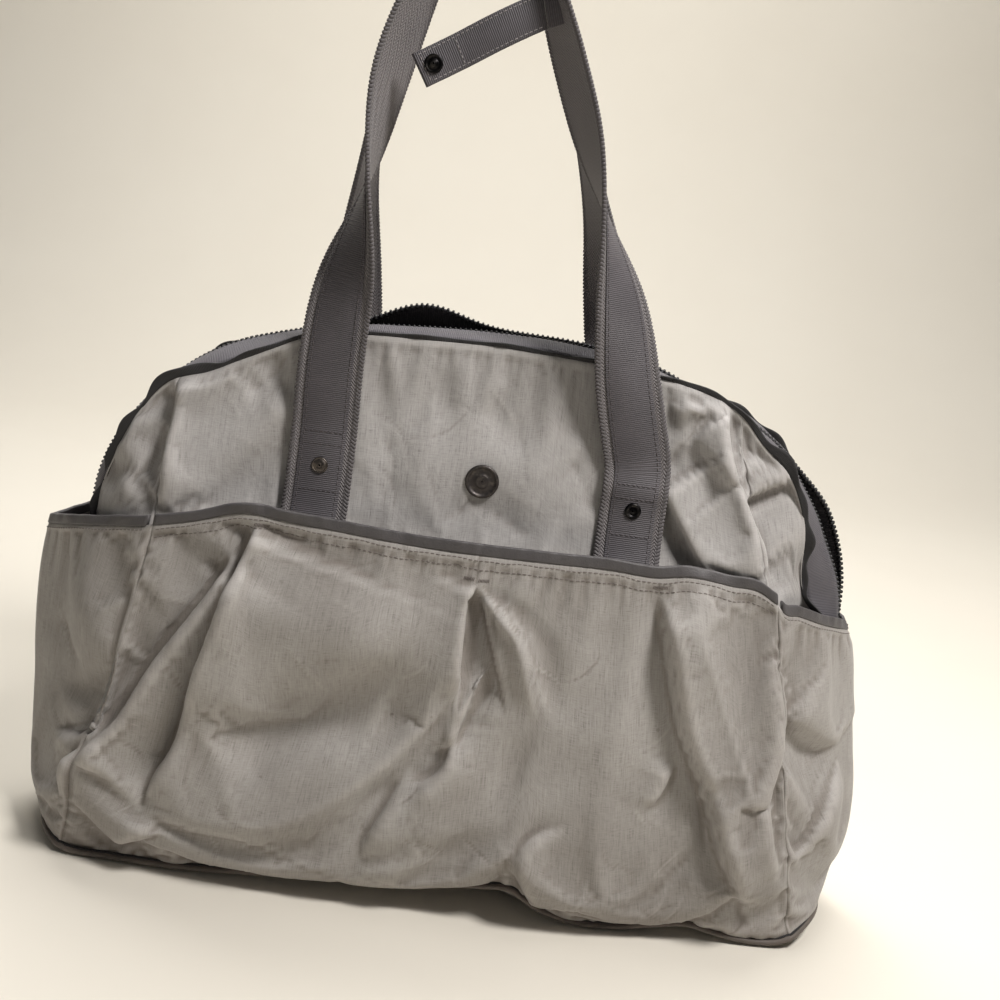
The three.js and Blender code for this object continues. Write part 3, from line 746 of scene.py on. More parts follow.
class Folds:
    """Adds up folds over a loop of cloth, as moves along its normal and along itself."""

    def __init__(self, points, crisp=False):
        self.crisp = crisp
        self.x, self.z = points[..., 0], points[..., 2]
        self.rise = np.zeros(self.x.shape)
        self.slide = np.zeros(self.x.shape + (2,))
        self.front = points[..., 1] <= 0.5

    def lap(self, line, rise, sharp=4.0, puff=42.0, hollow=26.0, side=1, over=0.0, fade=(0.1, 0.25),
            hollow_share=0.6, front=True):
        """Cloth on one side of the line stands proud and laps towards the other side."""
        if self.crisp and sharp > SHARPEST:
            return
        if self.crisp:
            rise, sharp, puff, hollow, over = rise * 0.34, min(1.7, sharp * 0.5), 10.0, 8.0, over * 0.15
        where = self.front if front else ~self.front
        x, z = self.x[where], self.z[where]
        d, t, dx, dz = near_line(x, z, smooth_line(line))
        d = d * side
        grow = smooth(0, fade[0], t) if fade[0] else 1.0
        strength = grow * (smooth(0, fade[1], 1 - t) if fade[1] else 1.0)
        near = np.exp(-np.abs(d / np.where(d > 0, puff, hollow)) ** 1.5) * np.where(d > 0, 1, hollow_share)
        self.rise[where] += rise * strength * np.tanh(d / sharp) * near
        if over:
            push = -over * side * strength * np.exp(-((d - 3) / 7) ** 2)
            self.slide[where] += np.stack([-dz * push, dx * push], -1)

    def crease(self, line, rise, width=3.0, fade=(0.25, 0.35), front=True):
        """A narrow ridge, or a groove where rise is below zero."""
        if self.crisp and width > SHARPEST:
            return
        if self.crisp:
            rise, width = rise * 0.3, min(2.0, width * 0.5)
        where = self.front if front else ~self.front
        d, t, _, _ = near_line(self.x[where], self.z[where], smooth_line(line))
        strength = smooth(0, fade[0], t) * smooth(0, fade[1], 1 - t)
        a = np.abs(d) / width
        self.rise[where] += rise * strength * (np.exp(-a) * 0.6 + np.exp(-a * a * 0.3) * 0.4)

    def swell(self, cx, cz, rx, rz, rise, turn=0.0, front=True):
        if self.crisp:
            return
        where = self.front if front else ~self.front
        x, z = self.x[where] - cx, self.z[where] - cz
        c, s = math.cos(math.radians(turn)), math.sin(math.radians(turn))
        a, b = (x * c + z * s) / rx, (z * c - x * s) / rz
        self.rise[where] += rise * np.exp(-(a * a + b * b))

    def crumple(self, seed, count, x_range, z_range, rise, length, width, front=True):
        where = self.front if front else ~self.front
        x, z = self.x[where], self.z[where]
        self.rise[where] += crumple(x, z, seed, count, x_range, z_range, rise, length, width)


def blurred(field, times):
    """The field averaged with its neighbours along the loop and up it."""
    for _ in range(times):
        field = (np.roll(field, 1, 1) + 2 * field + np.roll(field, -1, 1)) / 4
        softened(field)
    return field


def displaced(points, folds, hold):
    """The cloth with its folds, held still where hold is 0."""
    normals = grid_normals(points)
    tangent = unit(np.roll(points, -1, 1) - np.roll(points, 1, 1))
    tangent *= np.sign(tangent[..., :1] + 1e-9)
    moved = points + normals * (folds.rise * hold)[..., None]
    moved += tangent * (folds.slide[..., 0] * hold)[..., None]
    moved[..., 2] += folds.slide[..., 1] * hold
    return moved


def pocket_folds(points, crisp=False):
    f = Folds(points, crisp)
    # The hang of the cloth: out under the rim, in at the middle height, out again over the base.
    f.swell(-78, 192, 74, 30, 11.0)
    f.swell(-112, 116, 50, 22, -13.0, 18)
    f.swell(-45, 138, 50, 22, -13.0, 12)
    f.swell(60, 120, 60, 26, -6.0, -10)
    f.swell(-92, 50, 62, 30, 6.0)
    f.swell(-2, 66, 40, 14, 5.0, 8)
    f.swell(-30, 96, 26, 14, -5.0, 40)
    f.swell(70, 160, 24, 22, -5.0, -25)
    f.swell(96, 118, 34, 60, 5.0, -12)
    f.swell(44, 104, 18, 26, -5.0)
    f.swell(118, 52, 46, 30, 5.0)
    f.swell(150, 205, 14, 34, 5.0, 12)
    f.swell(-258, 48, 22, 34, 6.0)
    f.swell(-250, 92, 20, 14, 4.5, 20)
    f.swell(-232, 118, 32, 14, -8.0, 32)
    f.swell(-238, 165, 30, 26, 4.0)
    f.swell(-210, 180, 14, 40, -4.0, 8)
    f.swell(250, 180, 26, 26, 4.0)
    f.swell(238, 132, 24, 12, -6.0, -38)
    f.swell(262, 88, 18, 30, 5.0)
    f.swell(238, 62, 20, 14, -4.0, 20)
    # a trace more fullness where the right pocket turns round the bag's end
    f.swell(279, 186, 7, 15, 5.0)
    f.swell(279, 186, 7, 15, 5.0, 0, False)
    # The two great laps at the left and the one at the right fall from the ends of the rim's gathers.
    f.lap([(-139, 222), (-155, 189), (-183, 144), (-204, 103), (-233, 66), (-238, 30)],
          13.0, 3.4, 30, 32, 1, 6, (0.1, 0.2), 0.75)
    f.lap([(-127, 240), (-144, 180), (-155, 143), (-166, 93), (-179, 67), (-182, 40)],
          11.0, 3.4, 66, 22, 1, 5, (0.05, 0.25), 0.7)
    f.lap([(-166, 44), (-182, 32), (-204, 12)], 6.0, 4, 16, 14, -1, 3, (0.3, 0.3))
    f.lap([(117, 232), (130, 204), (148, 151), (168, 113), (186, 73), (207, 22)],
          11.0, 3.4, 30, 30, 1, 6, (0.12, 0.25), 0.5)
    f.lap([(186, 222), (206, 172), (210, 146), (206, 112), (214, 78), (232, 35)],
          7.0, 4.5, 24, 20, -1, 4, (0.3, 0.3), 0.8)
    f.lap([(-261, 69), (-243, 78), (-214, 96)], 7.0, 4, 20, 20, -1, 4, (0.3, 0.3))
    # The inverted pleat at the middle.
    f.lap([(8, 222), (5, 206), (6, 190), (6, 171), (2, 143)], 5.0, 4.6, 30, 14, -1, 4, (0.1, 0.35), 0.9)
    f.crease([(16, 216), (26, 211), (40, 198), (47, 182), (57, 160), (68, 136)], 5.0, 6.0, (0.12, 0.4))
    f.lap([(3, 112), (8, 130), (13, 146), (26, 174)], 6.0, 3.5, 20, 14, 1, 3, (0.25, 0.3), 0.9)
    f.lap([(-40, 150), (-12, 141), (8, 147)], 3.0, 6, 20, 20, 1, 2, (0.3, 0.3), 0.8)
    f.lap([(-22, 88), (-4, 98), (5, 114), (3, 136)], 6.0, 4, 22, 18, -1, 3, (0.3, 0.3), 0.8)
    f.lap([(-150, 112), (-93, 146), (-49, 168), (-16, 178)], 6.5, 13, 46, 36, 1, 2, (0.2, 0.25), 0.8)
    f.lap([(-146, 88), (-112, 88), (-92, 108), (-40, 128)], 4.0, 11, 30, 30, -1, 0, (0.3, 0.3), 0.8)
    f.lap([(-48, 38), (-34, 66), (-24, 88), (-18, 104)], 5.0, 5, 24, 22, -1, 2, (0.3, 0.35), 0.8)
    f.lap([(-62, 34), (-16, 50), (12, 52), (60, 60)], 5.0, 7, 30, 26, -1, 0, (0.3, 0.3), 0.6)
    f.lap([(70, 12), (61, 36), (57, 55), (66, 70), (92, 80)], 4.5, 4.6, 28, 20, -1, 3, (0.03, 0.4), 0.8)
    f.lap([(132, 92), (141, 108), (146, 128)], 4.0, 3.5, 14, 14, 1, 2, (0.3, 0.3), 0.8)
    f.crease([(186, 105), (198, 104), (209, 108)], -2.6, 3.5)
    f.crease([(132, 232), (160, 181), (192, 116), (206, 93), (224, 50)], 4.5, 7.0)
    f.crease([(178, 130), (170, 96), (176, 60)], -3.0, 6.0)
    f.crease([(196, 46), (206, 22), (212, 8)], -4.5, 4.0)
    f.crease([(226, 48), (236, 22), (246, 6)], -4.0, 3.5)
    f.crease([(140, 34), (154, 52), (170, 76)], -3.0, 6.0)
    f.lap([(213, 162), (235, 146), (264, 126)], 6.0, 6, 24, 20, 1, 2, (0.2, 0.2), 0.8)
    f.lap([(218, 84), (236, 68), (248, 82), (264, 122)], 4.5, 5, 18, 18, -1, 2, (0.3, 0.3), 0.8)
    f.crease([(-268, 150), (-252, 132), (-240, 128)], -3.0, 6.0)
    f.crease([(-100, 26), (-84, 44), (-60, 52)], -2.5, 6.0)
    # The back hangs the same way, with folds of its own.
    f.swell(60, 190, 120, 36, 4.5, 0, False)
    f.swell(30, 120, 100, 30, -6.5, -8, False)
    f.swell(-30, 50, 130, 34, 5.0, 0, False)
    f.lap([(128, 238), (146, 186), (168, 130), (190, 84), (222, 40)],
          7.0, 4.5, 40, 30, -1, 4, (0.05, 0.25), 0.6, False)
    f.lap([(-120, 238), (-138, 190), (-160, 130), (-186, 70), (-214, 28)],
          7.0, 4.5, 44, 28, 1, 4, (0.05, 0.25), 0.6, False)
    f.lap([(-6, 229), (-2, 205), (-6, 170), (-16, 130)], 4.5, 2.4, 28, 16, -1, 3, (0.02, 0.4), 0.6, False)
    f.lap([(-6, 229), (10, 205), (24, 170), (30, 130)], 4.5, 2.8, 28, 18, 1, 3, (0.02, 0.4), 0.6, False)
    f.crease([(-40, 60), (-10, 92), (10, 120)], -4.0, 6.0, front=False)
    f.crease([(70, 40), (88, 76), (120, 100)], -4.0, 6.0, front=False)
    f.lap([(-246, 130), (-226, 108), (-206, 100)], 4.0, 4, 24, 20, 1, 2, (0.3, 0.3), 0.6, False)
    f.lap([(214, 150), (236, 120), (262, 110)], 4.0, 4, 24, 20, 1, 2, (0.3, 0.3), 0.6, False)
    return f


def panel_folds(points, crisp=False):
    f = Folds(points, crisp)
    f.lap([(-198, 318), (-190, 301), (-192, 278), (-194, 255), (-192, 225)],
          8.0, 5, 36, 28, 1, 3, (0.05, 0.1), 0.7)
    f.lap([(-112, 312), (-131, 286), (-154, 262), (-182, 226)], 7.0, 10, 30, 34, -1, 0, (0.15, 0.1), 0.8)
    f.crease([(-150, 312), (-136, 323), (-124, 340)], -5.0, 7.0)
    f.lap([(-78, 338), (-47, 334), (-29, 340), (-6, 330), (20, 337)], 3.6, 12, 26, 34, 1, 0, (0.15, 0.2), 0.8)
    f.lap([(-8, 332), (6, 312), (24, 304), (46, 328)], 2.6, 12, 26, 28, -1, 0, (0.2, 0.2), 0.8)
    f.swell(20, 284, 56, 26, 4.0)
    f.swell(-46, 290, 24, 34, 3.0)
    f.crease([(-24, 252), (2, 266), (28, 256), (48, 248)], -4.0, 9.0)
    f.lap([(100, 352), (111, 338), (124, 326)], 5.0, 7, 24, 20, 1, 0, (0.1, 0.3), 0.8)
    f.crease([(106, 309), (116, 305), (126, 308)], -3.0, 6.0)
    f.lap([(126, 322), (140, 308), (155, 292)], 5.5, 7, 24, 22, 1, 0, (0.2, 0.2), 0.8)
    f.lap([(112, 290), (129, 265), (142, 246), (158, 226)], 7.0, 4, 34, 20, 1, 3, (0.1, 0.1), 0.8)
    f.lap([(146, 347), (149, 326), (157, 302), (166, 286), (178, 263), (190, 228)], 8.0, 4.0, 36, 20, -1, 4,
          (0.05, 0.05), 0.8)
    f.lap([(163, 285), (173, 293), (184, 299), (202, 307)], 6.0, 3.2, 20, 18, 1, 3, (0.25, 0.05), 0.8)
    f.crease([(154, 320), (172, 315), (190, 304)], -5.0, 6.0)
    f.crease([(52, 302), (66, 286), (72, 264)], -3.5, 9.0)
    f.crease([(-62, 304), (-52, 280), (-58, 252)], -3.0, 9.0)
    f.crease([(-234, 250), (-222, 268), (-206, 298)], 4.0, 6.0)
    f.crease([(-218, 240), (-206, 262), (-198, 290)], -4.0, 6.0)
    # The back.
    f.lap([(176, 330), (182, 300), (188, 262), (196, 226)], 5.0, 3.5, 36, 24, -1, 2, (0.1, 0.1), 0.6, False)
    f.lap([(-176, 330), (-182, 300), (-188, 262), (-196, 226)],
          5.0, 3.5, 36, 24, 1, 2, (0.1, 0.1), 0.6, False)
    f.lap([(-40, 340), (-6, 330), (30, 336), (60, 326)], 4.0, 7, 26, 30, 1, 0, (0.15, 0.2), 0.6, False)
    f.crease([(0, 320), (20, 296), (50, 270)], -3.2, 8.0, front=False)
    f.crease([(-150, 320), (-134, 290), (-150, 250)], -3.2, 7.0, front=False)
    f.crease([(130, 318), (144, 288), (132, 250)], -3.2, 7.0, front=False)
    return f


def seam_hold(u, share, low_fade, high_fade, seam_width):
    """0 at the edges and 1 inside; the upright seams hold the cloth a little."""
    edge = smooth(0, low_fade, share) * smooth(0, high_fade, 1 - share)
    seam = 1 - 0.55 * bell(np.abs(u), 1, seam_width)
    return edge[:, None] * seam[None]


PLEAT_X, PLEAT_TOP = 8.5, 222


def pleat(p, front):
    """The rim's middle pleat: a closed seam down to the bar tack, then two folded edges that part."""
    x, z = p[..., 0], p[..., 2]
    down = PLEAT_TOP - z
    parted = smooth(-2, 14, down) * smooth(138, 172, z) * front
    left = PLEAT_X - 3.5 * smooth(0, 12, down) + 1.5 * smooth(20, 60, down)
    right = PLEAT_X + 0.36 * np.maximum(down, 0)
    crest = PLEAT_X + 1.03 * down - 3.0 * np.logaddexp(0, (down - 31) / 4)      # turns upright 31 mm down
    inside = (1 + np.tanh((x - left) / 0.9)) * (1 - np.tanh((x - right) / 1.1)) / 4
    rise = -6.5 * inside + 2.4 * np.exp(-np.maximum(left - x, 0) / 8) * (x <= left)
    d = x - crest
    rise += 5.0 * np.where(d < 0, np.exp(-(d / 8) ** 2), np.exp(-(d / 3.2) ** 2)) - 3.2 * bell(d, 14, 9)
    rise = rise * parted
    rise -= 0.9 * bell(x, PLEAT_X, 0.9) * smooth(-4, 2, -down) * smooth(250, 236, z) * front
    return rise


RECESS = 18                             # how far the inner cloth keeps behind the pockets
TUCKED_TO, FREE_FROM = 226, 262         # heights between which the pockets' rim lets the inner cloth go
PINNED_TO = 232                         # below this, the inner cloth keeps still while it settles


def tucked(grid, inner):
    """1 where the cloth is free; less where the pockets keep the inner cloth flat behind their rim."""
    return lerp(0.12, 1, smooth(TUCKED_TO, FREE_FROM, grid[..., 2])) if inner else 1.0


def shaped_loop(surface, folds_of, rows, low_fade, high_fade, settle_with, inner=False):
    grid, u, is_back = loop_grid(surface, rows, STEP)
    share = np.linspace(0, 1, rows)
    f = folds_of(grid)
    grid = displaced(grid, f, seam_hold(u, share, low_fade, high_fade, 0.03) * tucked(grid, inner))
    pin = np.zeros((rows, len(u)))
    pin[:1] = 1
    pin[-2:] = 1
    at_seam = np.abs(np.abs(u) - 1) < 0.012
    pin[:, at_seam] = np.maximum(pin[:, at_seam], 0.55)
    if inner:
        pin[grid[..., 2] < PINNED_TO] = 1
    grid = settle(grid, pin, **settle_with)
    grid, u, is_back = finer(grid), finer_columns(u), finer_columns(is_back.astype(float)) > 0.5
    share = np.linspace(0, 1, len(grid))
    f = folds_of(grid, True)
    f.rise = blurred(f.rise, 1)
    for seed, front in ((11, True), (12, False)):
        f.crumple(seed, 90, (-270, 270), (10, 350), 0.55, 34, 1.6, front)
        f.crumple(seed + 2, 60, (-270, 270), (4, 60), 0.6, 22, 1.4, front)
    hold = seam_hold(u, share, low_fade * 0.6, high_fade * 1.2, 0.03) * tucked(grid, inner)
    grid = displaced(grid, f, hold)
    if inner:       # well behind the pockets, whose hollows reach inwards
        behind = RECESS * smooth(224, 190, grid[..., 2]) * smooth(4, 44, grid[..., 2])
        grid = grid - grid_normals(grid) * behind[..., None]
    else:
        grid = grid + grid_normals(grid) * pleat(grid, ~is_back[None])[..., None]
    # the upright seams pull in, and the cloth rolls a little over its upper edge
    groove = -1.1 * bell(np.abs(u), 1, 0.012)[None] * smooth(0, 0.06, 1 - share)[:, None]
    roll = 0.7 * bell((1 - share) * len(grid), 2.0, 1.3)[:, None] + 0 * u[None]
    return grid + grid_normals(grid) * (groove + roll)[..., None], u, is_back


class Loop:
    """A finished loop of cloth that can be asked for places on it."""

    def __init__(self, points, u, is_back):
        self.p, self.u, self.back = points, u, is_back
        self.n = grid_normals(points)
        self.rows, self.cols = points.shape[:2]
        mid = self.rows // 2
        gaps = np.linalg.norm(np.roll(points[mid], -1, 0) - points[mid], axis=1)
        self.across = np.concatenate([[0], np.cumsum(gaps)[:-1]])
        self.tall = np.concatenate([np.zeros((1, self.cols)),
                                    np.cumsum(np.linalg.norm(np.diff(points, axis=0), axis=2), 0)])

    def column(self, u, back=False):
        """The fractional column at u."""
        which = np.nonzero(self.back == back)[0]
        order = which[np.argsort(self.u[which])]
        return np.interp(u, self.u[order], order.astype(float))

    def at(self, column, row, what=None):
        grid = self.p if what is None else what
        column, row = np.broadcast_arrays(np.asarray(column, float), np.asarray(row, float))
        row = np.clip(row, 0, self.rows - 1.001)
        c0, r0 = np.floor(column).astype(int), np.floor(row).astype(int)
        fc, fr = (column - c0)[..., None], (row - r0)[..., None]
        c0, c1 = c0 % self.cols, (c0 + 1) % self.cols
        low = grid[r0, c0] * (1 - fc) + grid[r0, c1] * fc
        high = grid[r0 + 1, c0] * (1 - fc) + grid[r0 + 1, c1] * fc
        return low * (1 - fr) + high * fr

    def normal(self, column, row):
        return unit(self.at(column, row, self.n))

    def row_below_top(self, column, distance):
        """The row this far below the top edge, measured along the cloth."""
        c = np.round(np.asarray(column)).astype(int) % self.cols
        tall = self.tall[:, c]
        want = tall[-1] - distance
        rows = np.arange(self.rows)
        want = np.broadcast_to(want, c.shape)
        return np.array([np.interp(w, tall[:, i], rows) for i, w in enumerate(want)])

    def pick(self, name):
        """Column numbers of one of the four pieces, in order and sharing their edges."""
        u, back = self.u, self.back
        all_columns = np.arange(self.cols)
        if name == "front":
            chosen = all_columns[(np.abs(u) <= 1.0001) & ~back]
        elif name == "back":
            chosen = all_columns[(np.abs(u) <= 1.0001) & back]
        elif name == "right":
            chosen = all_columns[u >= 0.9999]
        else:
            chosen = all_columns[u <= -0.9999]
            later, earlier = chosen[chosen > self.cols / 2], chosen[chosen <= self.cols / 2]
            chosen = np.concatenate([later, earlier])
        return chosen


# stores the painted shade (darker in hollows and towards the ground) and the wear as attributes that the
# cloth's colour reads
def add_shade_and_wear(obj, crease_shade_and_low_darkening, rub):
    for name, values in (("crease_shade_and_low_darkening", crease_shade_and_low_darkening), ("rub", rub)):
        layer = obj.data.attributes.new(name, "FLOAT", "POINT")
        layer.data.foreach_set("value", np.clip(values, 0, 1).astype(np.float32).ravel())


def curvature(p):
    """How sharply the cloth stands out here, above zero on ridges."""
    around = (np.roll(p, 1, 1) + np.roll(p, -1, 1)) / 2
    up = p.copy()
    up[1:-1] = (p[2:] + p[:-2]) / 2
    n = grid_normals(p)
    return ((p - around) * n).sum(-1) + ((p - up) * n).sum(-1)


def cloth_piece(name, loop, columns, material, low_darkening=0.0):
    """One of the loop's four pieces, with painted shade where it bends inward, wear where it bends out and
    near the ground, and as much darkening near the ground as asked.
    """
    take = np.ix_(np.arange(loop.rows), columns)
    across = loop.across[columns].copy()
    jump = np.nonzero(np.diff(across) < 0)[0]
    if len(jump):
        across[:jump[0] + 1] -= across.max() + STEP / 2
    uv = np.stack(np.broadcast_arrays(across[None], loop.tall[take]), -1)
    # the normals come from the whole loop, so that neighbours meet without a step
    verts, faces, uv = cloth_slab(loop.p[take], uv, CLOTH, loop.n[take])
    obj = make(name, verts, faces, material, uv=uv)
    bend = curvature(loop.p)[take]
    low = 1 - smooth(4, 34, loop.p[take][..., 2])
    # painted shade: darker where the cloth bends inward, into its hollows and creases, and darker towards the
    # ground by the given amount
    crease_shade_and_low_darkening = np.clip(-bend * 1.2, 0, 0.5) + low_darkening * low ** 2
    rub = np.clip(bend * 1.6, 0, 0.7) + 0.35 * low
    add_shade_and_wear(obj, *(np.concatenate([a.ravel(), a.ravel() * 0]) for a in (crease_shade_and_low_darkening, rub)))
    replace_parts(obj, name)


pocket_loop = Loop(*shaped_loop(pocket, pocket_folds, 66, 0.05, 0.05, dict(
    frames=22, spare=0.02, pressure=0.1, gravity=0.2, cap=9)))
body_loop = Loop(*shaped_loop(body, panel_folds, 92, 0.05, 0.035, dict(
    frames=20, spare=0.018, pressure=0.1, gravity=0.2, cap=8), inner=True))

for side in SIDES:
    cloth_piece(f"{side}_pocket", pocket_loop, pocket_loop.pick(side), shaded_pocket_cloth, low_darkening=0.5)
    node = f"{side}_panel" if side in ("front", "back") else f"{side}_end_panel"
    cloth_piece(node, body_loop, body_loop.pick(side), shell_cloth)

# ------------------------------------------------------------------ pocket bindings, folded over the rims
def rounded_strip(width, thick, corner, steps=3):
    """Outline of a flat strip's section, across and out, anticlockwise with rounded corners."""
    points = []
    x, y = width / 2 - corner, thick / 2 - corner
    for cx, cy, start in ((x, y, 0), (-x, y, 90), (-x, -y, 180), (x, -y, 270)):
        for k in range(steps + 1):
            a = math.radians(start + 90 * k / steps)
            points.append((cx + corner * math.cos(a), cy + corner * math.sin(a)))
    return points


def strip_piece(name, path, across, out, profile, material, body_name="bag", closed=False):
    verts, faces, uv = sweep(path, across, out, profile, closed)
    return make(name, verts, outward_faces(verts, faces), material, body_name, uv)


def rim_frame(loop, columns):
    c = np.asarray(columns, float)
    top, below = loop.at(c, loop.rows - 1.001), loop.at(c, loop.rows - 6)
    up = unit(top - below)
    out = loop.normal(c, np.full(c.shape, loop.rows - 3.0))
    return top, up, square_to(out, up)


for side in SIDES:
    columns = pocket_loop.pick(side).astype(float)
    if side in ("left", "right"):
        columns = columns[2:-2]
    top, up, out = rim_frame(pocket_loop, columns)
    wobble = 0.35 * np.sin(columns * 0.21) + 0.25 * np.sin(columns * 0.083 + 1)
    centre = top + up * (3.1 + 0.2 * wobble)[:, None] + out * (-0.55 + 0.3 * wobble)[:, None]
    profile = rounded_strip(7.4, 3.0, 1.3, 4)
    # across is up here, so that the ribs of the weave run along the rim
    binding = strip_piece(f"{side}_pocket_binding", centre, up, out, profile, binding_cloth)
    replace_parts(binding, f"{side}_pocket_binding")

# ------------------------------------------------------------------ base: panel, board, piping
def base_outline(grow, count=360):
    """Points round the pockets' lower edge, standing outside it by grow, with its lift."""
    columns = np.linspace(0, pocket_loop.cols, count, endpoint=False)
    p = pocket_loop.at(columns, 0)
    n = pocket_loop.normal(columns, np.full(count, 1.0))
    n[:, 2] = 0
    return p + unit(n) * grow


edge_soft = sum(np.roll(base_outline(0.0), k, 0) for k in (-3, -1, 0, 1, 3)) / 5


def base_sheet(shrink, lift, rings=14):
    """Points of a sheet that fills the outline: level in the middle, up to the lifted edge."""
    out = []
    for t in np.linspace(0, 1, rings + 1)[1:]:
        reach = edge_soft * [shrink, shrink, 1]
        flat = reach * [t, t, 0]
        # the long middle of the bag is level, so only the outer part lifts
        rise = (edge_soft[:, 2] - LOW_EDGE) * smooth(0.35, 1.0, t)
        ripple = 0.5 * np.sin(flat[:, 0] / 23) * np.sin(flat[:, 1] / 17 + 1) * (1 - smooth(0.8, 1, t))
        flat[:, 2] = rise + lift + ripple
        out.append(flat)
    return np.array(out)


def base_plate(name, shrink, low, high, material):
    upper, lower = base_sheet(shrink, high), base_sheet(shrink, low)
    rings, count = upper.shape[:2]
    n = rings * count
    ring_faces = grid_faces(rings, count, True)
    verts = np.concatenate([lower.reshape(-1, 3), upper.reshape(-1, 3), [[0, 0, low]], [[0, 0, high]]])
    faces = [tuple(f) for f in ring_faces.tolist()] + [tuple(f[::-1] + n) for f in ring_faces]
    last = (rings - 1) * count
    for i in range(count):
        j = (i + 1) % count
        faces.append((last + i, last + j, n + last + j, n + last + i))
        faces.append((2 * n, j, i))
        faces.append((2 * n + 1, n + i, n + j))
    obj = make(name, verts, outward_faces(verts, faces), material, uv=verts[:, [1, 0]])
    z = verts[:, 2]
    # the base is a little darker all over, and worn round its edge
    add_shade_and_wear(obj, 0.35 + 0 * z, 0.3 * (np.hypot(verts[:, 0] / 240, verts[:, 1] / 60) > 0.8))
    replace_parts(obj, name)


base_plate("base_panel", 1.0, 0.2, 1.8, base_cloth)
base_plate("base_board", 0.95, 3.2, 5.4, board_cloth)


def cord_ring(name, grow, raised, radius, material, sides=8):
    """A cord round the base, outside its outline by grow."""
    path = base_outline(grow, 520)
    path[:, 2] += raised
    along = unit(np.roll(path, -1, 0) - np.roll(path, 1, 0))
    across = unit(np.cross(along, [0, 0, 1.0]))
    up = np.cross(across, along)
    a = np.arange(sides) * 2 * math.pi / sides
    profile = np.stack([radius * np.cos(a), radius * np.sin(a)], -1)
    return strip_piece(name, path, across, up, profile, material, closed=True)


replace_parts(cord_ring("base_piping", 1.7, 0.4, 1.9, piping_cord), "base_piping")
# a thin black cord just above the piping, for the dark line along it
cord_ring("base_piping_dark_line", 0.7, 2.3, 1.0, black_binding, 6)

# ------------------------------------------------------------------ lining, loose inside the shell
body_soft = Loop(blurred(body_loop.p.copy(), 30), body_loop.u, body_loop.back)


def lining_piece(side):
    columns = body_loop.pick(side)[::2]
    rows = np.arange(6, body_loop.rows - 3, 3)
    node = f"{side}_lining" if side in ("front", "back") else f"{side}_end_lining"
    take = np.ix_(rows, columns)
    inward = body_soft.n[take] * lerp(3.5, 8.5, smooth(0, 0.12, 1 - rows / body_loop.rows))[:, None, None]
    p = body_soft.p[take] - inward
    f = 1.6 * np.sin(p[..., 0] / 11 + 3 * np.sin(p[..., 2] / 37)) * np.sin(p[..., 2] / 60)
    p = p - body_soft.n[take] * np.abs(f)[..., None]
    uv = np.stack([p[..., 0] + p[..., 1], p[..., 2]], -1)
    verts, faces, uv = cloth_slab(p, uv, 0.6)
    obj = make(node, verts, faces, lining_cloth, uv=uv)
    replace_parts(obj, node)


for side in SIDES:
    lining_piece(side)

# ------------------------------------------------------------------ the zip: tapes, teeth, seam bindings
TOOTH_SEAT, TAPE_SEAT = 1.6, 2.2        # where the teeth and the tape's edge stand back from the slit


def slit(s):
    """Half width of the open zip, which narrows towards its ends."""
    return lerp(1.6, SLIT, smooth(20, 120, ZIP_HALF - np.abs(s)))


def zip_lift(s, back):
    """How the open zip's edge waves above and below its line."""
    top = 5.5 * smooth(190, 60, np.abs(s)) - 6 * smooth(100, 150, s) * smooth(262, 215, s)
    if back:
        wave = top + 12 * bell(s, -46, 30) + 1.5 * bell(s, 60, 40)
        wave += -2 * bell(s, 255, 40) - 3 * bell(s, -225, 45)
    else:
        wave = top + 0.8 * np.sin(s / 31) - 13 * bell(s, 262, 46) - 3 * bell(s, -225, 50)
    return wave * smooth(0, 60, ZIP_HALF - np.abs(s))


def teeth_line(s, back, offset=0.0):
    p = zip_point(s) + zip_out(s) * zip_lift(s, back)[:, None]
    p[:, 1] = (1 if back else -1) * (slit(s) + offset)
    return p


def tooth_template():
    """One moulded tooth: a block on the tape with a rounded head that reaches over the edge."""
    w, h, l = 1.75, 3.6, 3.4
    rows = [(-0.5, 0.85, 1.0), (0.05, 1.0, 1.0), (0.3, 0.72, 0.8), (0.42, 1.0, 0.78), (0.5, 0.7, 0.5)]
    verts = []
    for y, sx, sz in rows:
        for x, z in ((-1, -0.6), (-0.6, -1), (0.6, -1), (1, -0.6), (1, 0.6), (0.6, 1), (-0.6, 1), (-1, 0.6)):
            verts.append((x * w / 2 * sx, y * l, z * h / 2 * sz))
    faces = [tuple(f) for f in grid_faces(len(rows), 8, True).tolist()]
    last = (len(rows) - 1) * 8
    for a, b, c, d in ((0, 3, 2, 1), (0, 7, 4, 3), (7, 6, 5, 4)):
        faces.append((a, b, c, d))
        faces.append((last + a, last + d, last + c, last + b))
    return np.array(verts), faces


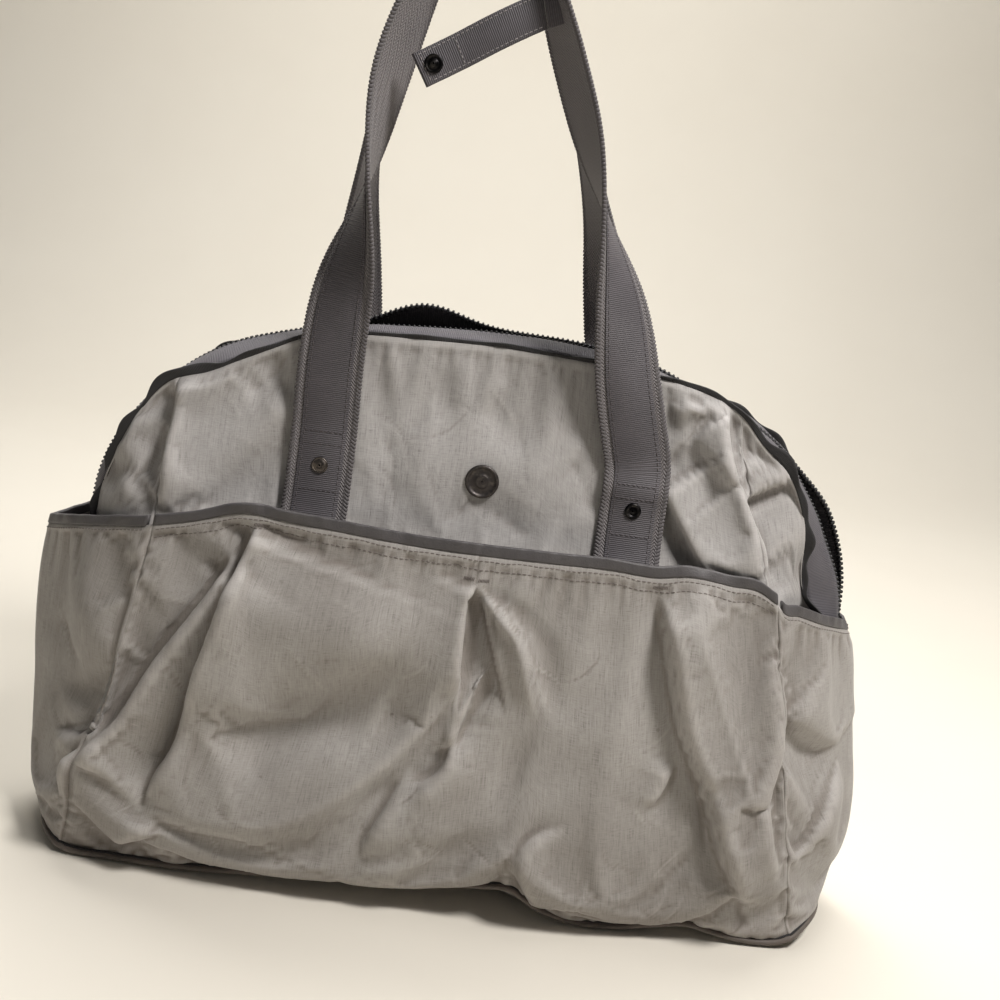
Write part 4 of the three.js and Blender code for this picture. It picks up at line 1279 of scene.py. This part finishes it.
for name, back in FACES:
    hand = 1.0 if back else -1.0
    s = np.arange(-ZIP_HALF + 10, ZIP_HALF - 10, 3.2)
    verts, faces = tooth_template()
    x = unit(teeth_line(s + 0.5, back) - teeth_line(s - 0.5, back))
    z = square_to(zip_out(s), x)
    # heads point into the slit
    y = np.cross(z, x)
    y *= np.sign(y[:, 1:2]) * -hand
    v, f = copies(verts, faces, teeth_line(s, back, TOOTH_SEAT), x, y, z)
    teeth = make(f"zip_teeth_{name}", v, f, zip_plastic, flat=True)
    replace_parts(teeth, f"zip_teeth_{name}")

    s = np.linspace(-ZIP_HALF + 10, ZIP_HALF - 10, 420)
    inner, outer = teeth_line(s, back, TAPE_SEAT), seam_point(s, back)
    shares = np.linspace(0, 1, 7)
    crown = 1.6 * np.sin(shares * math.pi)[None] * (0.6 + 0.4 * np.sin(s / 19 + hand))[:, None]
    crown = crown + 1.1 * (shares * (1 - shares) * 4)[None] * np.sin(s / 8.5 + 2 * hand)[:, None] * 0.35
    grid = inner[None] * (1 - shares)[:, None, None] + outer[None] * shares[:, None, None]
    grid = grid + zip_out(s)[None] * crown.T[..., None]
    width = np.linalg.norm(outer - inner, axis=1)
    run = length_along(inner)
    uv = np.stack(np.broadcast_arrays(shares[:, None] * width[None], run[None]), -1)
    if back:
        grid, uv = grid[:, ::-1], uv[:, ::-1]
    verts, faces, uv = cloth_slab(grid, uv, 1.0)
    tape = make(f"zip_tape_{name}", verts, faces, gusset_tape, uv=uv)
    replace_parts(tape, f"zip_tape_{name}")

    # A bound edge stands along the seam, wavy where the cloth is gathered into it.
    s = np.linspace(-ZIP_HALF + 22, ZIP_HALF - 22, 560)
    edge_line = seam_point(s, back)
    edge_line[:, 1] += hand * 0.9
    z = zip_out(s)
    along = unit(np.gradient(edge_line, axis=0))
    outward = unit(np.cross(along, z))
    outward *= np.sign(outward[:, 1:2]) * hand
    shoulders = smooth(math.radians(8), math.radians(26), np.abs(zip_angle(s)))
    phase = 0.0 if back else 1.3
    gathered = 2.8 + 1.9 * np.sin(s / 10.5 + phase) + 1.2 * np.sin(s / 5.1)
    tall = 2.4 + shoulders * gathered + 0.5 * np.sin(s / 9)
    tall *= smooth(0, 60, ZIP_HALF - np.abs(s))
    tall = np.maximum(tall, 1.2)
    lean = 0.5 * np.sin(s / 8.3 + phase) + 0.35 * np.sin(s / 4.1)
    rows = []
    for t in np.linspace(0, 1, 5):
        rows.append(edge_line + z * (tall * t - 1.2)[:, None] + outward * (lean * t * 1.6 + 0.4 * t)[:, None])
    grid = np.array(rows)
    uv = np.stack(np.broadcast_arrays(np.linspace(0, 6, 5)[:, None], s[None]), -1)
    verts, faces, uv = cloth_slab(grid, uv, 1.1)
    faces = outward_faces(verts, [tuple(f) for f in faces.tolist()])
    strip = make(f"seam_binding_{name}", verts, faces, black_binding, uv=uv)
    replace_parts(strip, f"seam_binding_{name}")

for end_name, sign in (("left", -1), ("right", 1)):
    node = f"zip_end_tab_{end_name}"
    s_end = np.array([sign * (ZIP_HALF - 0.01)])
    at, out = zip_point(s_end)[0], zip_out(s_end)[0]
    along = np.array([out[2] * sign, 0, -out[0] * sign])
    t = np.linspace(-5.4, 5.4, 9)
    path = at[None] + along[None] * t[:, None] + out[None] * (4.4 + 0.5 * np.cos(t / 3.4))[:, None]
    tab = strip_piece(node, path, np.tile([0, 1.0, 0], (9, 1)), np.tile(out, (9, 1)),
                      rounded_strip(13, 1.5, 0.6), gusset_tape)
    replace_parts(tab, node)

# ------------------------------------------------------------------ stitching
def stitch_row(name, path, normal, material, body_name="bag", length=2.5, pitch=3.3, radius=0.33,
               sink=0.1, slant=0.0, flat=0.75):
    """Thread lying on a surface in short bars along a path."""
    path, normal = np.asarray(path, float), np.asarray(normal, float)
    run = length_along(path)
    places = np.arange(pitch / 2, run[-1], pitch)
    p = at_lengths(places, run, path)
    x = unit(at_lengths(places + 0.6, run, path) - at_lengths(places - 0.6, run, path))
    z = square_to(unit(at_lengths(places, run, normal)), x)
    y = np.cross(z, x)
    if slant:
        c, s = math.cos(slant), math.sin(slant)
        x, y = x * c + y * s, y * c - x * s
    verts, faces = capsule(length, radius, flat)
    v, f = copies(verts, faces, p + z * (radius * flat - sink), x, y, z)
    return make(name, v, f, material, body_name)


def on_loop(loop, columns, below):
    rows = loop.row_below_top(columns, below)
    return loop.at(columns, rows), loop.normal(columns, rows)


for name, back in FACES:
    u = np.linspace(-0.99, 0.99, 300)
    columns = pocket_loop.column(u, back)
    for row, below in (("upper", 3.4), ("lower", 9.2)):
        below = below + 0.35 * np.sin(u * 23) + 0.2 * np.sin(u * 61)
        p, n = on_loop(pocket_loop, columns, below)
        stitch_row(f"{name}_pocket_stitching_{row}", p, n, thread_gray)
for side in ("left", "right"):
    chosen = pocket_loop.pick(side)[2:-2].astype(float)
    p, n = on_loop(pocket_loop, chosen, 3.2 + 0.3 * np.sin(chosen * 0.3))
    stitch_row(f"{side}_pocket_stitching", p, n, thread_gray)


RIM_HALF = 196.0        # from the middle of the rim to its upright seams


def bar_tack(name, x, below, width, back=False):
    """A short dense bar of thread across the top of a pleat."""
    c = pocket_loop.column(np.array([x - width / 2, x + width / 2]) / RIM_HALF, back)
    columns = np.linspace(c[0], c[1], 12)
    p, n = on_loop(pocket_loop, columns, np.full(12, below))
    stitch_row(name, p, n, thread_gray, length=2.4, pitch=0.85, radius=0.3, slant=math.radians(78))


bar_tack("pleat_tack_left", 3.6, 15.6, 7)
bar_tack("pleat_tack_right", 12.6, 15.8, 6.5)
bar_tack("pleat_tack_back", -5, 15.6, 14, True)
bar_tack("gather_tack_left", -129, 6.5, 9)
bar_tack("gather_tack_right", 122, 6.5, 10)

# the tapes are topstitched beside the seam and beside the teeth
for name, back in FACES:
    s = np.linspace(-ZIP_HALF + 26, ZIP_HALF - 26, 500)
    for row, share in (("outer", 0.88), ("inner", 0.22)):
        inner, outer = teeth_line(s, back, TAPE_SEAT), seam_point(s, back)
        bulge = 1.6 * math.sin(share * math.pi) * (0.6 + 0.4 * np.sin(s / 19 + (1 if back else -1)))
        p = inner * (1 - share) + outer * share + zip_out(s) * (bulge + 0.05)[:, None]
        stitch_row(f"zip_tape_stitching_{name}_{row}", p, zip_out(s), thread_dark,
                   length=2.2, pitch=3.0, radius=0.26)

# ------------------------------------------------------------------ straps
def panel_line(x, width, back):
    """Heights and depths of the body at x, standing clear of its folds over a width."""
    rows = np.arange(20, body_loop.rows)
    columns = np.nonzero((np.abs(body_loop.u) <= 1) & (body_loop.back == back))[0]
    out = []
    for r in rows:
        p = body_loop.p[r, columns]
        order = np.argsort(p[:, 0])
        xs = np.linspace(x - width / 2, x + width / 2, 9)
        z = np.interp(x, p[order, 0], p[order, 2])
        y = np.interp(xs, p[order, 0], np.abs(p[order, 1])).max()
        out.append((z, y))
    out = np.array(out)
    out = out[np.argsort(out[:, 0])]
    soft = np.convolve(np.pad(out[:, 1], 4, mode="edge"), np.ones(9) / 9, mode="valid")
    return out[:, 0], np.maximum(soft, out[:, 1] - 0.3)


FRONT_LOOP = [
    (-97, 300, 0), (-97, 340, 4), (-94, 385, 22), (-86, 448, 84), (-80, 505, 114), (-68, 552, 112),
    (-54, 592, 100), (-41, 624, 92), (-27, 637, 90), (-13, 624, 88), (-4, 594, 80), (8, 560, 70),
    (21, 529, 64), (39, 486, 68), (56, 442, 98), (72, 395, 142), (84, 345, 172), (97, 300, 180),
]
BACK_LOOP = [
    (-97, 300, 0), (-97, 340, 12), (-97, 385, 44), (-96, 448, 78), (-90, 505, 88), (-78, 552, 90),
    (-61, 590, 90), (-45, 614, 90), (-29, 626, 90), (-13, 614, 90), (-2, 590, 90), (11, 552, 92),
    (24, 520, 96), (39, 486, 102), (54, 442, 114), (68, 395, 142), (82, 345, 170), (97, 300, 180),
]
LOOP_Y = 22             # half the gap between the two loops' tops
STRAP_CLEAR = 1.5       # from the panel to the strap's centre line
STRAP_STEP = 2.6


def strap_line(points, back):
    """Centre line of a strap from foot to foot, with its directions across and outward."""
    hand = 1.0 if back else -1.0
    loop = smooth_line(points, 330)
    top = loop[:, 1].max()
    seats = {x: panel_line(x, 40, back) for x in (-STRAP_X, STRAP_X)}
    start = {x: float(np.interp(STRAP_HINGE, *seats[x])) + STRAP_CLEAR for x in seats}
    share = smooth(STRAP_HINGE, top, loop[:, 1])
    half = len(loop) // 2
    base = np.where(np.arange(len(loop)) < half, start[-STRAP_X], start[STRAP_X])
    y = lerp(base, LOOP_Y, share)
    upright = np.stack([loop[:, 0], hand * y, loop[:, 1]], -1)
    # below the hinge the strap lies on the panel, in its slope
    heights = np.linspace(STRAP_FOOT, STRAP_HINGE, 60)[:-1]
    left, right = (
        np.stack([0 * heights + x, hand * (np.interp(heights, *seats[x]) + STRAP_CLEAR), heights], -1)
        for x in (-STRAP_X, STRAP_X))
    path = np.concatenate([left, upright, right[::-1]])
    turn = np.concatenate([0 * heights, loop[:, 2], 0 * heights + 180])
    for _ in range(6):
        softened(path)
        softened(turn)
    run = length_along(path)
    even = np.linspace(0, run[-1], int(run[-1] / STRAP_STEP))
    path = at_lengths(even, run, path)
    turn = np.radians(np.interp(even, run, turn))
    for _ in range(3):
        softened(path)
    along = unit(np.gradient(path, axis=0))
    across = np.stack([np.cos(turn), hand * np.sin(turn), 0 * turn], -1)
    across = square_to(across, along)
    return path, across, np.cross(along, across) * hand


# flat webbing with corded selvedges
WEB_HALF = [(19, 0.25), (18.7, 0.8), (18, 1.1), (17, 1.12), (16.3, 0.8), (14.8, 0.85), (8, 0.95), (0, 0.95)]
WEB_TOP = WEB_HALF + [(-x, y) for x, y in WEB_HALF[-2::-1]]
WEB_SECTION = WEB_TOP + [(x, -y) for x, y in WEB_TOP[::-1]]
RIBBON_SEAT, SNAP_SEAT, THREAD_SEAT = 1.35, 1.65, 1.72      # over the webbing's middle plane
RIBBON_SEAM, SELVEDGE = 12.0, 18.4                          # from the webbing's middle line


def over_hinge(obj):
    """Bakes the piece's placement into its mesh."""
    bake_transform(obj)


strap_lines = {}
for (side, back), points in zip(FACES, (FRONT_LOOP, BACK_LOOP)):
    strap = f"{side}_strap"
    path, across, out = strap_lines[strap] = strap_line(points, back)
    web = strip_piece(f"{strap}_webbing", path, across, out, WEB_SECTION, strap_webbing, None)
    over_hinge(web)
    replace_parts(web, strap, f"{strap}_left_end", f"{strap}_right_end")
    ribbon = strip_piece(f"{strap}_ribbon_sewn", path + out * RIBBON_SEAT, across, out,
                         rounded_strip(RIBBON_W, RIBBON_T, 0.3, 2), tape_ribbon, None)
    over_hinge(ribbon)
    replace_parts(ribbon, f"{strap}_ribbon", f"{strap}_left_end_ribbon", f"{strap}_right_end_ribbon")
    for edge, hand in (("inner", 1), ("outer", -1)):
        line = path + across * (RIBBON_SEAM * hand) + out * THREAD_SEAT
        row = stitch_row(f"{strap}_stitching_{edge}", line, out, thread_dark, None,
                         length=2.3, pitch=3.2, radius=0.3)
        over_hinge(row)
        line = path + across * (SELVEDGE * hand)
        cords = stitch_row(f"{strap}_selvedge_{edge}", line, out, strap_webbing, None, length=4.8,
                           pitch=2.3, radius=1.3, sink=1.3 * 1.2, slant=math.radians(50) * hand, flat=1.2)
        over_hinge(cords)


def leg_row(path, leg, z):
    """The number of the path's point nearest to this height on one of its legs."""
    half = len(path) // 2
    if leg == "left":
        return int(np.argmin(np.abs(path[:half, 2] - z)))
    return int(np.argmin(np.abs(path[half:, 2] - z))) + half


def across_rows(strap, leg, heights):
    """Rows of stitching across a leg at these heights above the base."""
    path, across, out = strap_lines[strap]
    t = np.linspace(-RIBBON_SEAM, RIBBON_SEAM, 16)
    for i, z in enumerate(heights):
        k = leg_row(path, leg, z)
        line = path[k] + across[k] * t[:, None] + out[k] * THREAD_SEAT
        stitch_row(f"{strap}_{leg}_row_a{i}", line, np.tile(out[k], (16, 1)), thread_dark,
                   length=2.2, pitch=3.0, radius=0.32)


for strap in ("front_strap", "back_strap"):
    across_rows(strap, "left", (295, 287, 261))
    across_rows(strap, "right", (289, 282, 257))

# ------------------------------------------------------------------ fittings
def turned(name, profile, at, out, material, body_name="bag", segments=40, closed=True):
    """A turned fitting; its profile runs (radius, height) along the outward direction."""
    at, out = np.asarray(at, float), unit(np.asarray(out, float))
    helper = np.array([1.0, 0, 0]) if abs(out[0]) < 0.8 else np.array([0, 1.0, 0])
    x = unit(np.cross(helper, out))
    y = np.cross(out, x)
    a = np.arange(segments) * 2 * math.pi / segments
    rings = np.array([at + out * h + x * (r * np.cos(a))[:, None] + y * (r * np.sin(a))[:, None]
                      for r, h in profile])
    n = len(profile)
    faces = [tuple(f) for f in grid_faces(n, segments, True).tolist()]
    if closed:
        faces.append(tuple(range(segments)))
        faces.append(tuple(range((n - 1) * segments, n * segments))[::-1])
    else:
        last = (n - 1) * segments
        for j in range(segments):
            k = (j + 1) % segments
            faces.append((last + j, last + k, k, j))
    verts = rings.reshape(-1, 3)
    return make(name, verts, outward_faces(verts, faces), material, body_name, uv=verts[:, [0, 2]])


CAP = [(5, 0), (5.1, 0.5), (4.9, 1), (4.5, 1.25), (4.2, 1.2), (4, 1), (3.8, 1.05), (3.4, 1.35), (2, 1.5),
       (0.6, 1.55)]
SOCKET = [(5, 0), (5.1, 0.6), (4.7, 1.3), (4.1, 1.65), (3.5, 1.5), (3, 1.1), (2.5, 0.9), (2.35, 0.4),
          (2.3, 0)]
WELL = [(2.9, 0.05), (2.0, 0.25), (0.5, 0.3)]
SNAP_Z = 274

for side in ("front", "back"):
    path, across, out = strap_lines[f"{side}_strap"]
    for leg in ("left", "right"):
        k = leg_row(path, leg, SNAP_Z)
        at = path[k] + out[k] * SNAP_SEAT
        node = f"{side}_{leg}_snap"
        if leg == "left":
            snap = turned(node + "_cap", CAP, at, out[k], gunmetal)
        else:
            snap = turned(node + "_socket", SOCKET, at, out[k], black_metal, closed=False)
            turned(node + "_well", WELL, at, out[k], black_metal)
        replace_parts(snap, node)

# the wrap that buttons the two straps together hangs open from the front one
WRAP_RUN = [(4, 552, 0.3), (-6, 546.5, 0.45), (-25, 535, 0.52), (-43, 523.5, 0.52), (-63, 511, 0.56)]
WRAP_Y = -32
WRAP_SECTION = rounded_strip(20, 1.9, 0.8, 3)
FORWARD = [0, -1.0, 0]
wrap_run = smooth_line(WRAP_RUN, 48)
wrap_path = np.stack([wrap_run[:, 0], WRAP_Y + 0.9 * np.sin(wrap_run[:, 0] / 9), wrap_run[:, 1]], -1)
wrap_across = np.stack([-np.sin(wrap_run[:, 2]), 0 * wrap_run[:, 2], np.cos(wrap_run[:, 2])], -1)
wrap_out = np.tile(FORWARD, (len(wrap_run), 1))
wrap = strip_piece("handle_wrap_strip", wrap_path, wrap_across, wrap_out, WRAP_SECTION, tape_ribbon,
                   "handle_wrap")
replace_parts(wrap, "handle_wrap")
# its sewn end stays on the strap's face when the wrap folds
root_run = np.linspace((4.6, WRAP_Y, 552.3), (14.4, WRAP_Y, 556.4), 6)
strip_piece("handle_wrap_sewn_end", root_run, np.tile(wrap_across[0], (6, 1)), np.tile(FORWARD, (6, 1)),
            WRAP_SECTION, tape_ribbon, "front_strap")


def wrap_stitching(label, rows, aside):
    """A row of thread on the wrap's face, over these points of its path and this far from them."""
    line = wrap_path[rows] + wrap_across[rows] * aside + wrap_out[rows] * 0.95
    stitch_row(f"handle_wrap_stitching_{label}", line, np.tile(FORWARD, (len(line), 1)), thread_light,
               "handle_wrap", length=2.0, pitch=3.0, radius=0.24)


wrap_stitching("low", slice(3, -2), -8.0)
wrap_stitching("high", slice(3, -2), 8.0)
wrap_stitching("tip", -3, np.linspace(-8, 8, 12)[:, None])
wrap_stitching("middle", -14, np.linspace(-8, 8, 12)[:, None])
STUD = [(5.4, 0), (5.4, 0.7), (4.9, 1.2), (4.2, 1.2), (3.9, 0.8), (3.3, 0.75), (2.5, 0.9), (2.3, 1.7),
        (1.9, 2), (0.5, 2.05)]
stud = turned("handle_wrap_stud", STUD, (-55, -33.0, 516), FORWARD, black_metal, "handle_wrap")
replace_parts(stud, "handle_wrap_snap")
ring = turned("handle_wrap_ring", SOCKET, (-55, -31.0, 516), (0, 1, 0), black_metal, "handle_wrap",
              closed=False)
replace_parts(ring, "handle_wrap_socket")

# a plain round badge: a raised rim round a dished disc
badge_column = int(round(body_loop.column(0.016)))
badge_row = int(np.argmin(np.abs(body_loop.p[:, badge_column, 2] - 279)))
badge_at = body_loop.p[badge_row, badge_column] + [0, -0.2, 0]
BADGE = [(10.4, 0), (10.5, 0.8), (10.2, 1.5), (9.6, 1.9), (8.9, 1.8), (8.4, 1.3), (8.1, 0.9), (7, 0.75),
         (4.5, 0.7), (4.2, 1), (3.6, 1.15), (1.6, 1.25), (0.5, 1.25)]
badge = turned("round_badge", BADGE, badge_at, body_loop.n[badge_row, badge_column], badge_metal,
               segments=56)
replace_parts(badge, "badge")

for node in ("zip_slider_left", "zip_slider_right", "zip_pull_left", "zip_pull_right"):
    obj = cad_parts[node]
    obj.data.materials.clear()
    obj.data.materials.append(black_metal)
    bevel = obj.modifiers.new("rounded", "BEVEL")
    bevel.width = 0.0004
    bevel.segments = 2
    bevel.limit_method = "ANGLE"

# ------------------------------------------------------------------ stage, light, camera
floor_mesh = bpy.data.meshes.new("floor")
HALF_WIDTH, FRONT_EDGE, WALL_START, WALL_CURVE, WALL_TOP = 5.0, -5.0, 1.3, 0.9, 3.4
FLOOR_GAP = 0.0004
profile = [(FRONT_EDGE, 0.0)]
profile += [(WALL_START + WALL_CURVE * math.sin(a), WALL_CURVE - WALL_CURVE * math.cos(a))
            for a in np.linspace(0, math.pi / 2, 14)]
profile += [(WALL_START + WALL_CURVE, WALL_TOP)]
floor_verts = [(x, y, z - FLOOR_GAP) for y, z in profile for x in (-HALF_WIDTH, HALF_WIDTH)]
floor_faces = [(2 * i, 2 * i + 1, 2 * i + 3, 2 * i + 2) for i in range(len(profile) - 1)]
floor_mesh.from_pydata(floor_verts, [], floor_faces)
floor = bpy.data.objects.new("floor", floor_mesh)
for polygon in floor_mesh.polygons:
    polygon.use_smooth = True
floor_material, n, shader = new_material("pale_floor", {"Roughness": 0.75})
floor_colour = n.mix(n.noise(n.place(), 3.0, 3.0), gray(226, 221, 210), gray(220, 214, 202))
n.link(floor_colour, shader.inputs["Base Color"])
floor_mesh.materials.append(floor_material)
bpy.context.scene.collection.objects.link(floor)

world = bpy.data.worlds.new("soft_world")
bpy.context.scene.world = world
world.use_nodes = True
world.node_tree.nodes["Background"].inputs["Color"].default_value = (1.0, 0.98, 0.95, 1)
world.node_tree.nodes["Background"].inputs["Strength"].default_value = 0.1
bpy.context.scene.view_settings.view_transform = "Standard"


def area_light(name, at, aim, size, power, colour):
    data = bpy.data.lights.new(name, "AREA")
    data.shape = "RECTANGLE"
    data.size, data.size_y = size
    data.energy = power
    data.color = colour
    obj = bpy.data.objects.new(name, data)
    obj.location = at
    obj.rotation_euler = (Vector(aim) - Vector(at)).to_track_quat("-Z", "Y").to_euler()
    bpy.context.scene.collection.objects.link(obj)


area_light("key", (0.62, -0.5, 1.5), (0, 0, 0.2), (0.3, 0.3), 24, (1.0, 0.97, 0.94))
area_light("fill", (-1.5, -1.5, 0.9), (0, 0, 0.25), (1.2, 1.2), 0.5, (0.93, 0.96, 1.0))
area_light("top", (-0.1, 0.75, 2.0), (0, 0.95, 0.3), (1.6, 1.2), 42, (1.0, 0.98, 0.95))

camera_data = bpy.data.cameras.new("camera")
camera_data.sensor_width = 36
camera_data.lens = 41.4
camera = bpy.data.objects.new("camera", camera_data)
bpy.context.scene.collection.objects.link(camera)
target = Vector((0.0155, -0.06, 0.273))
elevation, roll, distance = math.radians(14), math.radians(7.6), 0.69
camera.location = target + Vector((0, -math.cos(elevation), math.sin(elevation))) * distance
look = (target - camera.location).to_track_quat("-Z", "Y")
camera.rotation_mode = "QUATERNION"
camera.rotation_quaternion = look @ Quaternion((0, 0, 1), roll)
bpy.context.scene.camera = camera
